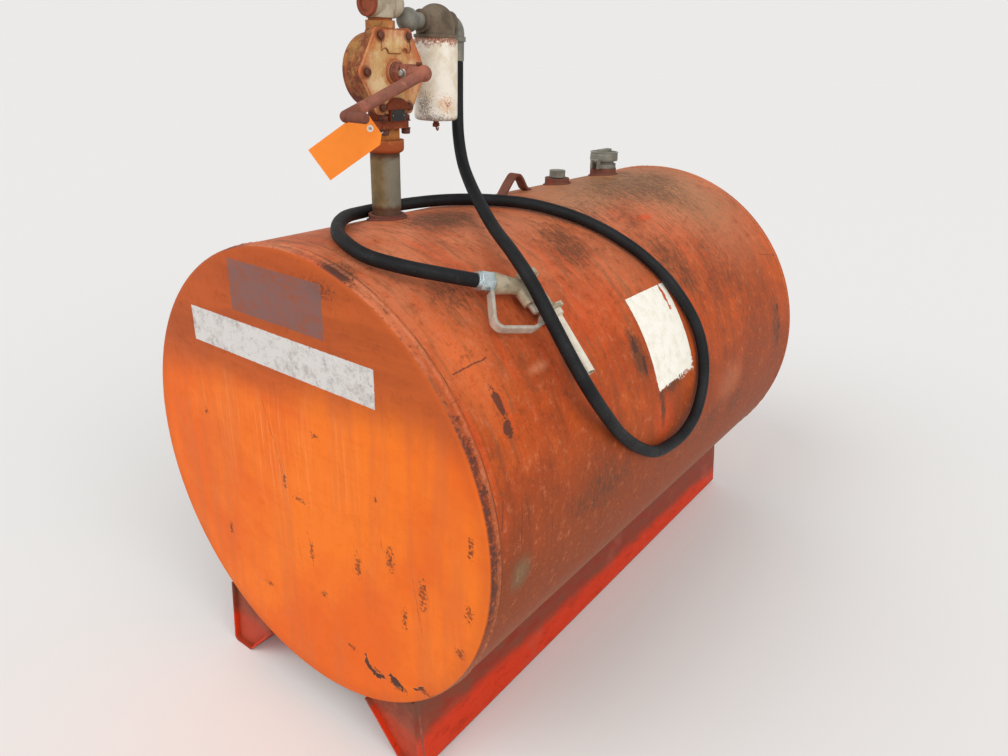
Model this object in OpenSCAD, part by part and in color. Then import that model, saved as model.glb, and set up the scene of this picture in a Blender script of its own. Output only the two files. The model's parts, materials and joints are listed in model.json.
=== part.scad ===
// Skid tank for fuel with a hand crank pump, a spin-on filter, a hose and a nozzle.
// The tank lies along Y with the pump end towards -Y. The skid soles stand on z = 0.

/* [Tank] */
// Outside diameter of the shell
tank_d = 965; // [900:1:1050]
// Length over both heads
tank_l = 1505; // [1400:5:1800]
// Wall of the shell
shell_wall = 3; // [2:0.5:5]
// Plate of the flat heads
head_plate = 3; // [2:0.5:5]
// Radius of the turned edge of a head
knuckle_r = 10; // [8:1:16]
// Depth of a head's flange, from its face to the girth weld
head_flange = 25; // [20:1:60]

/* [Skids] */
// Gap from the ground to the bottom of the shell
tank_lift = 82.5; // [75:0.5:110]
// Plate that the skids are bent from
skid_plate = 5; // [4:0.5:8]
// Outer edge of a sole from the middle of the tank
sole_edge = 316; // [300:1:340]
// Width of a sole on the ground
sole_w = 62; // [50:1:90]
// Outer web at the shell, from the middle of the tank
outer_web_top = 297; // [285:1:305]
// Inner web at the shell, from the middle of the tank
inner_web_top = 158; // [140:1:175]
// Bend radius of the plate along its middle
skid_bend_r = 9; // [7:1:14]
// How far the end plates stand back from the skid ends
end_plate_inset = 11; // [5:1:40]

/* [Fittings line] */
// Line of the top fittings, from the middle of the tank
line_x = -61; // [-70:1:-50]
// Pump riser along the tank
riser_y = -426; // [-440:1:-410]
// Filter along the tank
filter_y = -270; // [-275:1:-265]
// Hose elbow outlet along the tank
hose_exit_y = -200; // [-204:1:-198]
// Lifting lug along the tank
lug_y = 23; // [0:1:60]
// Vent along the tank
vent_y = 221; // [180:1:300]
// Fill cap along the tank
fill_y = 468; // [420:1:560]

/* [Pump stand] */
// Diameter of the welded bungs
bung_d = 76; // [72:1:84]
// Height of the pump bung above its seat
bung_h = 10.5; // [9:0.5:16]
// Outside diameter of the riser pipe
riser_d = 60.3; // [58:0.1:62]
// Wall of the riser pipe
riser_wall = 3.9; // [3:0.1:5]
// Riser between the bung and the pump
riser_free = 124; // [122:1:128]
// Outside diameter of the suction pipe
suction_d = 33.4; // [26:0.1:42]
// Suction pipe above the bottom of the tank
suction_gap = 75; // [50:5:150]

/* [Pump] */
// Radius of the pump body
pump_r = 70; // [66:1:72]
// Length of the round part of the body
pump_barrel = 51; // [46:1:56]
// Thickness of the body's bolting flange
pump_flange = 14; // [12:1:18]
// Thickness of the cover plate
cover_plate = 12; // [10:1:14]
// Front face of the cover
cover_face_x = -26; // [-28:1:-24]
// Distance across the flats of the six-sided cover
cover_flats = 152; // [148:1:158]
// Distance across its cut corners
cover_corners = 168; // [164:1:172]
// Cover bolts on this radius
cover_bolt_r = 73.5; // [71:0.5:76]
// Radius of the bolt bosses
boss_r = 14; // [11:0.5:15]
// Shaft height above the top of the inlet hub
shaft_rise = 127; // [126:1:132]
// Diameter of the shaft
shaft_d = 14; // [12:0.5:18]
// Reach of the crank, from the shaft to the end of its bar
crank_reach = 209; // [180:1:225]
// Middle of the crank bar in front of the fittings line
crank_x = 50; // [48:1:56]
// Diameter of the crank bar
crank_bar_d = 21; // [18:0.5:24]
// Crank angle below level
crank_tilt = 18.8; // [0:0.1:40]

/* [Filter] */
// Diameter of the filter can
filter_d = 92; // [84:1:96]
// Length of the filter can
filter_l = 159; // [120:1:170]
// Height of the filter ports above the bung
port_rise = 370; // [366:1:374]

/* [Hose and nozzle] */
// Outside diameter of the hose
hose_d = 26; // [24:0.5:27]
// Angle of the nozzle from the top of the shell
nozzle_roll = 42; // [40:1:44]
// Valve axis of the nozzle along the tank
nozzle_y = -420; // [-424:1:-416]
// Radius of the nozzle's valve housing
valve_r = 25; // [22:0.5:25]
// Outside diameter of the spout
spout_d = 25; // [22:0.5:26]
// Angle of the nozzle handle from the tank's length
handle_turn = 24; // [22:1:26]
// Width of the hand guard
guard_w = 16; // [12:1:20]
// Thickness of the hand guard
guard_t = 7; // [5:0.5:8]

/* [Top fittings] */
// Width of the lifting lug strap
lug_w = 24; // [20:1:40]
// Thickness of the lifting lug strap
lug_t = 10; // [8:0.5:12]
// Length of the lug over its feet
lug_span = 117; // [105:1:140]
// Height of the lug above the shell
lug_h = 48; // [44:1:70]
// Diameter of the vent bung
vent_bung_d = 66; // [60:1:70]
// Height of the vent bung above its seat
vent_bung_h = 16.5; // [14:0.5:24]
// Bore of the vent
vent_bore = 24; // [20:1:30]
// Diameter of the vent cap
vent_cap_d = 43; // [36:1:50]
// Bore of the fill opening
fill_bore = 50; // [44:1:52]
// Outside diameter of the fill lid
lid_d = 80; // [78:1:84]
// Height of the fill lid
lid_h = 31; // [28:1:40]

/* [Tag] */
// Length of the tag
tag_l = 133; // [110:1:140]
// Width of the tag
tag_w = 67; // [50:1:70]
// Thickness of the tag
tag_t = 1; // [0.5:0.1:2]

/* [Hidden] */

$fn = 96;
shell_sides = 360;
eps = 0.5;               // overlap of shapes that are joined
seat_gap = 0.3;          // between curved pieces that rest on each other
run_gap = 0.1;           // round the crank shaft and the lid's hinge pin
side_gap = 0.6;          // beside the lid's hinge knuckle
tank_r = tank_d / 2;
axis_z = tank_lift + tank_r;
crown = [line_x, axis_z + sqrt(tank_r * tank_r - line_x * line_x)];
half_l = tank_l / 2;

// Heights that stack up from the shell
seat_z = crown[1];
bung_top = seat_z + bung_h;
thread_in = 12;
hub_z = bung_top + riser_free;
hub_h = 25;
foot_z = hub_z + hub_h;
shaft_z = foot_z + shaft_rise;
foot_flange_z = foot_z + 23;
foot_flange_t = 14;
neck_d = 56;
neck_top = shaft_z + cover_flats / 2 + 14;
neck_spigot = 4;
casting_z = neck_top + neck_spigot + 25;
port_z = bung_top + port_rise;
filter_ring_z = port_z - 30;
filter_ring_t = 6;
can_top = filter_ring_z - 2;

// Pump along X
cover_back_x = cover_face_x - cover_plate;
flange_back_x = cover_back_x - pump_flange;
barrel_back_x = flange_back_x - pump_barrel;
shaft_y = riser_y - 1;
disc_t = 4;
gland_r = 19;
gland_face_x = cover_face_x + disc_t + 7;
gland_nut_t = 12;
gland_flats = 30;

// Filter and hose elbow along Y
filter_port_w = 92;
port_r = 15;
elbow_bend_r = 22;
ball_y = riser_y + 75;
casting_end_y = riser_y + 43;
casting_port_y = riser_y - 30;
hose_exit_z = port_z - 74;

// Fill cap
fill_neck_top = seat_z + 48;
fill_flange_z = seat_z + 21;
fill_neck_r = fill_bore / 2 + 5;
lid_z = seat_z + 42;
lid_wall = 4;
hinge_y = fill_y - lid_d / 2 - 7;
hinge_z = lid_z + 2;
hinge_pin_d = 5;
hinge_ear_w = 6;
knuckle_w = 14;

// Tag: its middle, the way it faces and its turn in its own plane
tag_mid = [-32, -552, 1203];
tag_heading = 36.4;
tag_slope = 35;
eyelet_d = 5;
eyelet_in = 12;

// Nozzle in its own frame: x down the shell, y along the tank, z out from the shell
valve_back = -66;
valve_front = 24;
valve_body_r = 18;
valve_body_y = -7;
handle_root = [-73, -94];
handle_dir = [sin(handle_turn), cos(handle_turn)];
handle_len = 103;
coupling_l = 36;
coupling_flats = 34;
spout_l = 131;
spout_lean = 9.6;
guard_path = [[-62, -106], [10, -163], [38, -74], [36, -46], [12, -18]];

// Points that the hose runs through, from the ferrule to the coupling
hose_route = [
    [-61, -200, 1350], [-60, -200, 1250], [-48, -210, 1195], [-10, -240, 1145],
    [45, -280, 1110], [110, -325, 1080], [185, -375, 1051], [264, -425, 1029],
    [334, -460, 994], [385, -470, 940], [435, -475, 880], [470, -460, 820],
    [486, -410, 750], [488, -345, 685], [495, -275, 630], [500, -200, 590],
    [500, -125, 575], [503, -55, 580], [500, 10, 610], [488, 57, 670],
    [467, 77, 740], [435, 75, 808], [383, 52, 883], [326, 20, 942],
    [265, -15, 987], [205, -50, 1019], [145, -90, 1042], [80, -135, 1057],
    [10, -190, 1062], [-55, -245, 1060], [-100, -310, 1055], [-120, -380, 1051],
    [-110, -455, 1053], [-72, -530, 1060], [-10, -605, 1063], [60, -660, 1060],
    [140, -680, 1047], [205, -655, 1034], [252, -603, 1018], [275, -547, 1001]];
hose_sides = 10;

// Colours of the pieces
orange_paint = "orangered";
pump_paint = "goldenrod";
rust = "sienna";
galvanised = "lightslategray";
pale_paint = "antiquewhite";
rubber = "darkslategray";
cast_alloy = "tan";

// Small functions for vectors and lists
function unit(v) = v / norm(v);
function reversed(p) = [for (i = [len(p) - 1:-1:0]) p[i]];
function left_of(v) = [-v.y, v.x];

// A corner b of a path, rounded to radius r with steps short chords
function corner_cut(a, b, c, r) =
    r * tan((180 - acos(unit(a - b) * unit(c - b))) / 2);
function corner(a, b, c, r, steps = 6) =
    let (p = b + unit(a - b) * corner_cut(a, b, c, r))
    let (q = b + unit(c - b) * corner_cut(a, b, c, r))
    let (side = sign(cross(b - a, c - b)))
    let (mid = p + side * r * left_of(unit(b - a)))
    let (sweep = side * (180 - acos(unit(a - b) * unit(c - b))))
    let (start = atan2(p.y - mid.y, p.x - mid.x))
    [for (i = [0:steps]) mid + r * [cos(start + sweep * i / steps), sin(start + sweep * i / steps)]];
function rounded(p, r) = [
    p[0],
    for (i = [1:len(p) - 2]) each corner(p[i - 1], p[i], p[i + 1], r),
    p[len(p) - 1]];

// The path moved sideways by d, mitred at its corners
function heading(p, i) =
    i == 0 ? unit(p[1] - p[0]) :
    i == len(p) - 1 ? unit(p[i] - p[i - 1]) :
    unit(unit(p[i] - p[i - 1]) + unit(p[i + 1] - p[i]));
function mitre(p, i) =
    i == 0 || i == len(p) - 1 ? 1 : 1 / (heading(p, i) * unit(p[i] - p[i - 1]));
function moved(p, d) =
    [for (i = [0:len(p) - 1]) p[i] + left_of(heading(p, i)) * d * mitre(p, i)];

// Outline of a strap or bent plate of thickness t along a path
module strap(path, t) {
    polygon(concat(moved(path, t / 2), reversed(moved(path, -t / 2))));
}

// A cylinder along X, from x0 to x1
module along_x(x0, x1, r, y = 0, z = 0) {
    translate([x0, y, z])
        rotate([0, 90, 0])
            cylinder(r = r, h = x1 - x0);
}

// A cylinder along Y, from y0 to y1
module along_y(y0, y1, r, x = 0, z = 0, sides = $fn) {
    translate([x, y0, z])
        rotate([-90, 0, 0])
            cylinder(r = r, h = y1 - y0, $fn = sides);
}

// A cylinder up Z, from z0 to z1
module up_z(z0, z1, r) {
    translate([0, 0, z0])
        cylinder(r = r, h = z1 - z0);
}

// The space that the shell takes, with a gap round it
module shell_space(gap = 0) {
    along_y(-half_l - 50, half_l + 50, tank_r + gap, 0, axis_z, shell_sides);
}

// Places its children on the fittings line
module on_line(y) {
    translate([line_x, y, 0])
        children();
}

// A welded bung whose foot follows the shell
module bung(y, top, bore) {
    difference() {
        on_line(y)
            up_z(seat_z - 30, top, bung_d / 2);
        on_line(y)
            up_z(seat_z - 40, top + 1, bore / 2);
        shell_space(seat_gap);
    }
}

// Shell of the tank, with a hole under each bung
module tank_shell() {
    color(orange_paint)
        difference() {
            along_y(head_flange - half_l, half_l - head_flange, tank_r, 0, axis_z, shell_sides);
            along_y(-half_l, half_l, tank_r - shell_wall, 0, axis_z, shell_sides);
            on_line(riser_y)
                up_z(axis_z, seat_z + 20, riser_d / 2 - riser_wall);
            on_line(vent_y)
                up_z(axis_z, seat_z + 20, vent_bore / 2);
            on_line(fill_y)
                up_z(axis_z, seat_z + 20, fill_bore / 2);
        }
}

// Section of a flat head from its middle to its flange, face at y = 0
module head_section() {
    rim = tank_r - knuckle_r;
    steps = 8;
    outer = [for (i = [0:steps]) [rim + knuckle_r * sin(90 * i / steps),
        knuckle_r * (1 - cos(90 * i / steps))]];
    inner_r = knuckle_r - head_plate;
    inner = [for (i = [steps:-1:0]) [rim + inner_r * sin(90 * i / steps),
        knuckle_r - inner_r * cos(90 * i / steps)]];
    polygon(concat([[0, 0]], outer, [[tank_r, head_flange], [tank_r - head_plate, head_flange]],
        inner, [[0, head_plate]]));
}

module front_head() {
    color(orange_paint)
        translate([0, -half_l, axis_z])
            rotate([-90, 0, 0])
                rotate_extrude($fn = shell_sides)
                    head_section();
}

module rear_head() {
    color(orange_paint)
        mirror([0, 1, 0])
            front_head();
}

// Middle line of the right skid's bent plate, run on past its seats on the shell
function shell_under(x) = axis_z - sqrt(tank_r * tank_r - x * x);
function past(a, b, d) = b + unit(b - a) * d;
inner_seat = [inner_web_top, shell_under(inner_web_top)];
outer_seat = [outer_web_top - skid_plate / 2, shell_under(outer_web_top)];
sole_in = [sole_edge - sole_w, skid_plate / 2];
sole_out = [sole_edge - skid_plate / 2, skid_plate / 2];
skid_line = rounded([past(sole_in, inner_seat, 30), sole_in, sole_out,
    past(sole_out, outer_seat, 30)], skid_bend_r);

// One skid: a channel bent from plate and coped to the shell
module right_skid() {
    color(orange_paint)
        difference() {
            translate([0, half_l, 0])
                rotate([90, 0, 0])
                    linear_extrude(tank_l)
                        strap(skid_line, skid_plate);
            shell_space(seat_gap);
        }
}

module left_skid() {
    mirror([1, 0, 0])
        right_skid();
}

// Plate that closes the right skid, with its front face at y
module skid_end_plate(y) {
    color(orange_paint)
        difference() {
            translate([0, y + skid_plate, 0])
                rotate([90, 0, 0])
                    linear_extrude(skid_plate)
                        polygon(moved(skid_line, skid_plate / 2));
            shell_space(seat_gap);
        }
}

module right_skid_front_plate() {
    skid_end_plate(-half_l + end_plate_inset);
}

module left_skid_front_plate() {
    mirror([1, 0, 0])
        right_skid_front_plate();
}

module right_skid_rear_plate() {
    skid_end_plate(half_l - end_plate_inset - skid_plate);
}

module left_skid_rear_plate() {
    mirror([1, 0, 0])
        right_skid_rear_plate();
}

module pump_bung() {
    color(rust)
        bung(riser_y, bung_top, riser_d + 2 * seat_gap);
}

// Riser with a cut thread at its foot, screwed into bung and hub
module riser_pipe() {
    thread_r = riser_d / 2 - 1;
    color(galvanised)
        on_line(riser_y)
            difference() {
                union() {
                    up_z(seat_z + 3, bung_top + 13, thread_r);
                    up_z(bung_top + 13 - eps, hub_z + thread_in, riser_d / 2);
                }
                up_z(seat_z, hub_z + thread_in + 1, riser_d / 2 - riser_wall);
            }
}

module suction_pipe() {
    color(galvanised)
        on_line(riser_y)
            difference() {
                up_z(tank_lift + suction_gap, hub_z + thread_in + 1, suction_d / 2);
                up_z(tank_lift, foot_z, suction_d / 2 - 3.4);
            }
}

// Round hub under the pump, with a socket for the riser
module pump_inlet_hub() {
    hub_r = 39;
    edge = 9;
    color(rust)
        on_line(riser_y)
            difference() {
                union() {
                    up_z(hub_z + edge, foot_z, hub_r);
                    up_z(hub_z, foot_z, hub_r - edge);
                    translate([0, 0, hub_z + edge])
                        rotate_extrude()
                            translate([hub_r - edge, 0])
                                circle(r = edge);
                }
                up_z(hub_z - 1, hub_z + thread_in + 1, riser_d / 2 + seat_gap);
                up_z(hub_z, foot_z + 1, suction_d / 2 - 3.4);
            }
}

// A block with rounded upright corners, centred on x = 0, y = 0
module rounded_block(size, r, z0) {
    translate([0, 0, z0])
        linear_extrude(size.z) {
            square([size.x - 2 * r, size.y], center = true);
            square([size.x, size.y - 2 * r], center = true);
            for (x = [-1, 1])
                for (y = [-1, 1])
                    translate([x * (size.x / 2 - r), y * (size.y / 2 - r)])
                        circle(r = r);
        }
}

// Foot of the pump: neck, bolted flange and the arched pad below the cover
module pump_foot() {
    pad_r = 33;
    pad_t = 9;
    pad_drop = 79;
    neck = [50, 46];
    bolt_top = foot_flange_z + foot_flange_t + 22;
    pad_x = cover_face_x + pad_t;
    color(rust)
        difference() {
            union() {
                on_line(riser_y) {
                    rounded_block([neck.x, neck.y, foot_flange_z - foot_z + eps], 8, foot_z);
                    rounded_block([78, 74, foot_flange_t], 11, foot_flange_z);
                    rounded_block([neck.x, neck.y, 60], 8, foot_flange_z + foot_flange_t - eps);
                }
                translate([line_x, shaft_y - neck.y / 2 + 3, foot_flange_z + foot_flange_t - eps])
                    cube([pad_x - 2 - line_x, neck.y - 6, bolt_top - foot_flange_z - foot_flange_t + 2]);
                difference() {
                    along_x(line_x, pad_x, pad_r, shaft_y, shaft_z - pad_drop);
                    translate([line_x - 1, shaft_y - pad_r - 1, foot_z])
                        cube([pad_x - line_x + 2, 2 * pad_r + 2, bolt_top - foot_z]);
                }
            }
            along_x(barrel_back_x - 1, cover_back_x, pump_r + seat_gap, shaft_y, shaft_z);
            pump_flange_space(flange_back_x - seat_gap, cover_face_x);
        }
}

// Six-sided outline of the cover and of the body's flange
module cover_outline() {
    intersection() {
        circle(d = cover_flats / cos(30), $fn = 6);
        circle(d = cover_corners);
    }
    for (i = [0:5])
        rotate(60 * i + 30)
            translate([0, cover_bolt_r])
                circle(r = boss_r);
}

// Turns an outline drawn in XY to face +X, thickness t from x
module facing_x(x, t) {
    translate([x, shaft_y, shaft_z])
        rotate([90, 0, 90])
            linear_extrude(t)
                children();
}

module pump_flange_space(x0, x1) {
    facing_x(x0, x1 - x0)
        cover_outline();
}

// Round body with its bolting flange and a pad for the outlet neck
module pump_body() {
    edge = 12;
    color(pump_paint)
        difference() {
            union() {
                along_x(barrel_back_x + edge, flange_back_x + eps, pump_r, shaft_y, shaft_z);
                along_x(barrel_back_x, flange_back_x, pump_r - edge, shaft_y, shaft_z);
                translate([barrel_back_x + edge, shaft_y, shaft_z])
                    rotate([0, 90, 0])
                        rotate_extrude()
                            translate([pump_r - edge, 0])
                                circle(r = edge);
                facing_x(flange_back_x, pump_flange)
                    cover_outline();
            }
            along_x(cover_back_x - 2, cover_back_x + 1, shaft_d / 2 + 3, shaft_y, shaft_z);
        }
}

// Cover plate with a raised disc round the shaft and a raised pad at the top
module pump_cover() {
    pad_t = 3;
    color(pump_paint)
        difference() {
            union() {
                facing_x(cover_back_x, cover_plate)
                    cover_outline();
                along_x(cover_face_x - eps, cover_face_x + disc_t, gland_r + 4, shaft_y, shaft_z);
                facing_x(cover_face_x - eps, pad_t + eps)
                    difference() {
                        intersection() {
                            circle(d = cover_flats / cos(30) - 4, $fn = 6);
                            translate([-34, 33])
                                square([68, 60]);
                        }
                        translate([-26, 33])
                            circle(r = 9);
                        translate([26, 33])
                            circle(r = 9);
                    }
            }
            along_x(cover_back_x - 1, cover_face_x + disc_t + 1, shaft_d / 2 + run_gap, shaft_y, shaft_z);
        }
}

module pump_gland() {
    color(rust)
        difference() {
            union() {
                along_x(cover_face_x + disc_t, gland_face_x, gland_r, shaft_y, shaft_z);
                translate([gland_face_x - eps, shaft_y, shaft_z])
                    rotate([30, 0, 0])
                        rotate([0, 90, 0])
                            cylinder(d = gland_flats / cos(30), h = gland_nut_t + eps, $fn = 6);
            }
            along_x(cover_face_x, gland_face_x + gland_nut_t + 1, shaft_d / 2 + run_gap, shaft_y, shaft_z);
        }
}

// Places its children in the crank's frame: shaft along X, bar towards -Y
module crank_frame() {
    translate([0, shaft_y, shaft_z])
        rotate([crank_tilt, 0, 0])
            children();
}

// Crank: shaft, clamp block, socket and bar, with a short peg for the knob
peg_d = 10;
peg_in = 6;
knob_l = 42;
knob_x = crank_x + crank_bar_d / 2 - 2;
module pump_crank() {
    socket_r = 15;
    block = [16, 30, 30];
    block_x = gland_face_x + gland_nut_t + 5;
    color(rust)
        crank_frame() {
            along_x(cover_back_x + 2, block_x + eps, shaft_d / 2);
            rotate([-crank_tilt, 0, 0])
                translate([block_x, -block.y / 2, -block.z / 2])
                    cube(block);
            along_x(block_x + 1, crank_x, socket_r - 2);
            translate([crank_x, 0, 0])
                sphere(r = socket_r);
            along_y(-crank_reach, 0, crank_bar_d / 2, crank_x);
            translate([crank_x, -crank_reach, 0])
                sphere(d = crank_bar_d);
            along_x(crank_x, knob_x + peg_in, peg_d / 2, -crank_reach);
        }
}

module crank_knob() {
    knob_r = 9;
    edge = 3;
    color(rust)
        crank_frame()
            translate([knob_x, -crank_reach, 0])
                rotate([0, 90, 0])
                    difference() {
                        union() {
                            up_z(edge, knob_l - edge, knob_r);
                            up_z(0, knob_l, knob_r - edge);
                            for (z = [edge, knob_l - edge])
                                translate([0, 0, z])
                                    rotate_extrude()
                                        translate([knob_r - edge, 0])
                                            circle(r = edge);
                        }
                        translate([-20, -20, -20])
                            cube([40, 40, 20]);
                        translate([0, 0, -1])
                            cylinder(d = peg_d + seat_gap, h = peg_in + 1 + seat_gap);
                        translate([0, 0, 2 - crank_bar_d / 2])
                            sphere(d = crank_bar_d + 2 * seat_gap);
                        translate([0, 0, 2 - crank_bar_d / 2])
                            rotate([-90, 0, 0])
                                cylinder(d = crank_bar_d + 2 * seat_gap, h = 2 * knob_r);
                    }
}

module pump_outlet_neck() {
    color(pump_paint)
        difference() {
            on_line(shaft_y) {
                up_z(shaft_z, neck_top, neck_d / 2);
                up_z(shaft_z, neck_top + neck_spigot, neck_d / 2 - 5);
            }
            along_x(barrel_back_x - 1, cover_face_x + 1, pump_r + seat_gap, shaft_y, shaft_z);
            pump_flange_space(flange_back_x - seat_gap, cover_face_x);
            translate([cover_face_x - cover_plate, shaft_y - 60, shaft_z])
                cube([60, 120, cover_flats / 2 + seat_gap]);
        }
}

// Outlet tee of cast metal: round branch along Y on a short neck, closed above
module outlet_casting() {
    branch_r = 25;
    color(pale_paint)
        difference() {
            union() {
                on_line(shaft_y)
                    up_z(neck_top + neck_spigot, casting_z, 26);
                along_y(casting_port_y, casting_end_y - branch_r, branch_r, line_x, casting_z);
                translate([line_x, casting_end_y - branch_r + 12, casting_z])
                    sphere(r = branch_r);
                on_line(shaft_y) {
                    up_z(casting_z, casting_z + 30, 22);
                    translate([0, 0, casting_z + 30 - eps])
                        cylinder(d = 34, h = 9, $fn = 6);
                }
            }
            outlet_ball(seat_gap);
        }
}

module casting_port_ring() {
    color(rust)
        difference() {
            along_y(casting_port_y - 7, casting_port_y, 24, line_x, casting_z);
            along_y(casting_port_y - 8, casting_port_y - 3, 16, line_x, casting_z);
        }
}

// Ball of the street elbow between the outlet casting and the filter head
module outlet_ball(gap = 0) {
    translate([line_x, ball_y, port_z])
        sphere(r = 23 + gap);
}

module outlet_elbow() {
    color(galvanised) {
        outlet_ball();
        along_y(ball_y, filter_y - filter_port_w / 2, port_r, line_x, port_z);
    }
}

// Filter head: ring, dome and a port collar at each side
module filter_head() {
    dome_r = 40;
    dome_z = port_z - 6;
    color(rust)
        difference() {
            union() {
                on_line(filter_y) {
                    up_z(filter_ring_z, filter_ring_z + filter_ring_t, filter_d / 2 - 1);
                    up_z(filter_ring_z, dome_z, dome_r);
                    translate([0, 0, dome_z])
                        sphere(r = dome_r);
                }
                along_y(filter_y - filter_port_w / 2, filter_y + filter_port_w / 2, 22, line_x, port_z);
            }
            translate([line_x - dome_r - 1, filter_y - dome_r - 1, filter_ring_z - dome_r])
                cube([2 * dome_r + 2, 2 * dome_r + 2, dome_r]);
        }
}

module filter_canister() {
    edge = 8;
    r = filter_d / 2;
    bottom = can_top - filter_l;
    color(pale_paint)
        on_line(filter_y) {
            up_z(bottom + edge, can_top - 2, r);
            up_z(bottom, can_top, r - edge);
            up_z(can_top - 2 - eps, filter_ring_z, r - 3);
            translate([0, 0, bottom + edge])
                rotate_extrude()
                    translate([r - edge, 0])
                        circle(r = edge);
        }
}

module drain_cock() {
    bottom = can_top - filter_l;
    color(rust)
        on_line(filter_y) {
            up_z(bottom - 8, bottom, 6);
            up_z(bottom - 15, bottom - 8 + eps, 4);
            translate([-2, -9, bottom - 14])
                cube([4, 18, 7]);
        }
}

// Hose elbow: from the filter port round to straight down
module hose_elbow() {
    band_h = 10;
    port_y = filter_y + filter_port_w / 2;
    turn_y = hose_exit_y - elbow_bend_r;
    color(galvanised) {
        along_y(port_y, turn_y, port_r, line_x, port_z);
        translate([line_x, turn_y, port_z - elbow_bend_r])
            rotate([90, 0, 90])
                rotate_extrude(angle = 90)
                    translate([elbow_bend_r, 0])
                        circle(r = port_r);
        on_line(hose_exit_y) {
            up_z(port_z - elbow_bend_r - 14, port_z - elbow_bend_r, port_r);
            up_z(port_z - elbow_bend_r - 14, port_z - elbow_bend_r - 14 + band_h, port_r + 3);
        }
    }
}

module hose_ferrule() {
    color(galvanised)
        on_line(hose_exit_y)
            up_z(hose_exit_z + seat_gap, port_z - elbow_bend_r - 14, hose_d / 2 + 1.5);
}

// The route with a point added halfway between each two
function between(p, i) =
    let (a = p[max(i - 1, 0)])
    let (d = p[min(i + 2, len(p) - 1)])
    (9 * p[i] + 9 * p[i + 1] - a - d) / 16;
function finer(p) = [
    for (i = [0:len(p) - 2]) each [p[i], between(p, i)],
    p[len(p) - 1]];
function tangent(p, i) = unit(p[min(i + 1, len(p) - 1)] - p[max(i - 1, 0)]);
function square_to(n, t) = unit(n - (n * t) * t);

// Tube through the points of a path, one ring of points at each
module tube(path, d, sides) {
    n = len(path);
    normals = [for (i = 0, v = square_to([1, 0, 0], tangent(path, 0));
        i < n;
        i = i + 1, v = i < n ? square_to(v, tangent(path, i)) : v) v];
    rings = [for (i = [0:n - 1]) each
        [for (k = [0:sides - 1]) path[i]
            + d / 2 * cos(360 * k / sides) * normals[i]
            + d / 2 * sin(360 * k / sides) * cross(tangent(path, i), normals[i])]];
    walls = [for (i = [0:n - 2]) each [for (k = [0:sides - 1])
        [i * sides + k, (i + 1) * sides + k,
            (i + 1) * sides + (k + 1) % sides, i * sides + (k + 1) % sides]]];
    split = [for (f = walls) each [[f[0], f[1], f[2]], [f[0], f[2], f[3]]]];
    caps = [[for (k = [0:sides - 1]) k], [for (k = [sides - 1:-1:0]) (n - 1) * sides + k]];
    polyhedron(points = rings, faces = concat(split, caps));
}

module hose() {
    color(rubber)
        tube(finer(hose_route), hose_d, hose_sides);
}

// Places its children in the nozzle's frame, which lies against the shell
module nozzle_frame() {
    translate([0, 0, axis_z])
        rotate([0, nozzle_roll, 0])
            translate([0, nozzle_y, tank_r + valve_r + seat_gap])
                children();
}

// Turns a shape drawn up Z to run along the nozzle handle
module along_handle() {
    translate([handle_root.x, handle_root.y, 0])
        rotate([-90, 0, -handle_turn])
            children();
}

module hose_coupling() {
    color("silver")
        nozzle_frame()
            along_handle() {
                translate([0, 0, -coupling_l + seat_gap])
                    cylinder(d = hose_d + 6, h = 8);
                translate([0, 0, -coupling_l + 8])
                    cylinder(d = coupling_flats / cos(30), h = coupling_l - 8, $fn = 6);
            }
}

// Handle and valve housing of the nozzle, larger by gap where it makes room
module nozzle_form(gap = 0) {
    neck_r = 15;
    root_r = 20;
    along_handle()
        rotate_extrude()
            polygon([[0, 0], [root_r + gap, 0], [root_r + gap, 10], [root_r - 1.5 + gap, 20],
                [neck_r + 1.5 + gap, 36], [neck_r + gap, 52], [neck_r + 1 + gap, 74],
                [neck_r + 4 + gap, handle_len], [0, handle_len]]);
    along_x(valve_back - gap, valve_back + 11 + gap, valve_r + gap);
    along_x(valve_back + 9, valve_front, valve_body_r + gap, valve_body_y);
    along_x(valve_front - 6 - gap, valve_front, valve_r + gap);
    along_x(-48, -8, 13 + gap, -37);
}

module nozzle_body() {
    color(cast_alloy)
        nozzle_frame() {
            nozzle_form();
            along_x(valve_back - 8, valve_back + eps, 15);
            along_y(valve_r - 4, valve_r + 12, 4.5, valve_back + 6);
            translate([8, 20, -4])
                cube([10, 24, 8]);
        }
}

module nozzle_guard() {
    color(cast_alloy)
        nozzle_frame()
            difference() {
                translate([0, 0, -guard_w / 2])
                    linear_extrude(guard_w)
                        strap(rounded(guard_path, 16), guard_t);
                nozzle_form(0.1);
                along_handle()
                    up_z(-coupling_l - 2, 0.1, 24);
            }
}

module nozzle_plunger() {
    color(cast_alloy)
        nozzle_frame() {
            along_x(-8, 8, 6.5, -37);
            translate([8, -37, 0])
                sphere(r = 6.5);
        }
}

// Spout: a collar on the housing and a straight tube that leans to the handle's side
module nozzle_spout() {
    wall = 1.5;
    bore_r = spout_d / 2 - wall;
    collar_l = 12;
    collar_r = 20;
    color(pale_paint)
        nozzle_frame()
            difference() {
                union() {
                    along_x(valve_front, valve_front + collar_l, collar_r);
                    spout_frame()
                        cylinder(d = spout_d, h = spout_l);
                }
                spout_frame()
                    translate([0, 0, 2])
                        cylinder(r = bore_r, h = spout_l);
            }
}

// Places its children at the root of the spout, with Z along it
module spout_frame() {
    translate([valve_front + 4, 5, 0])
        rotate([0, 0, -spout_lean])
            rotate([0, 90, 0])
                children();
}

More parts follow.
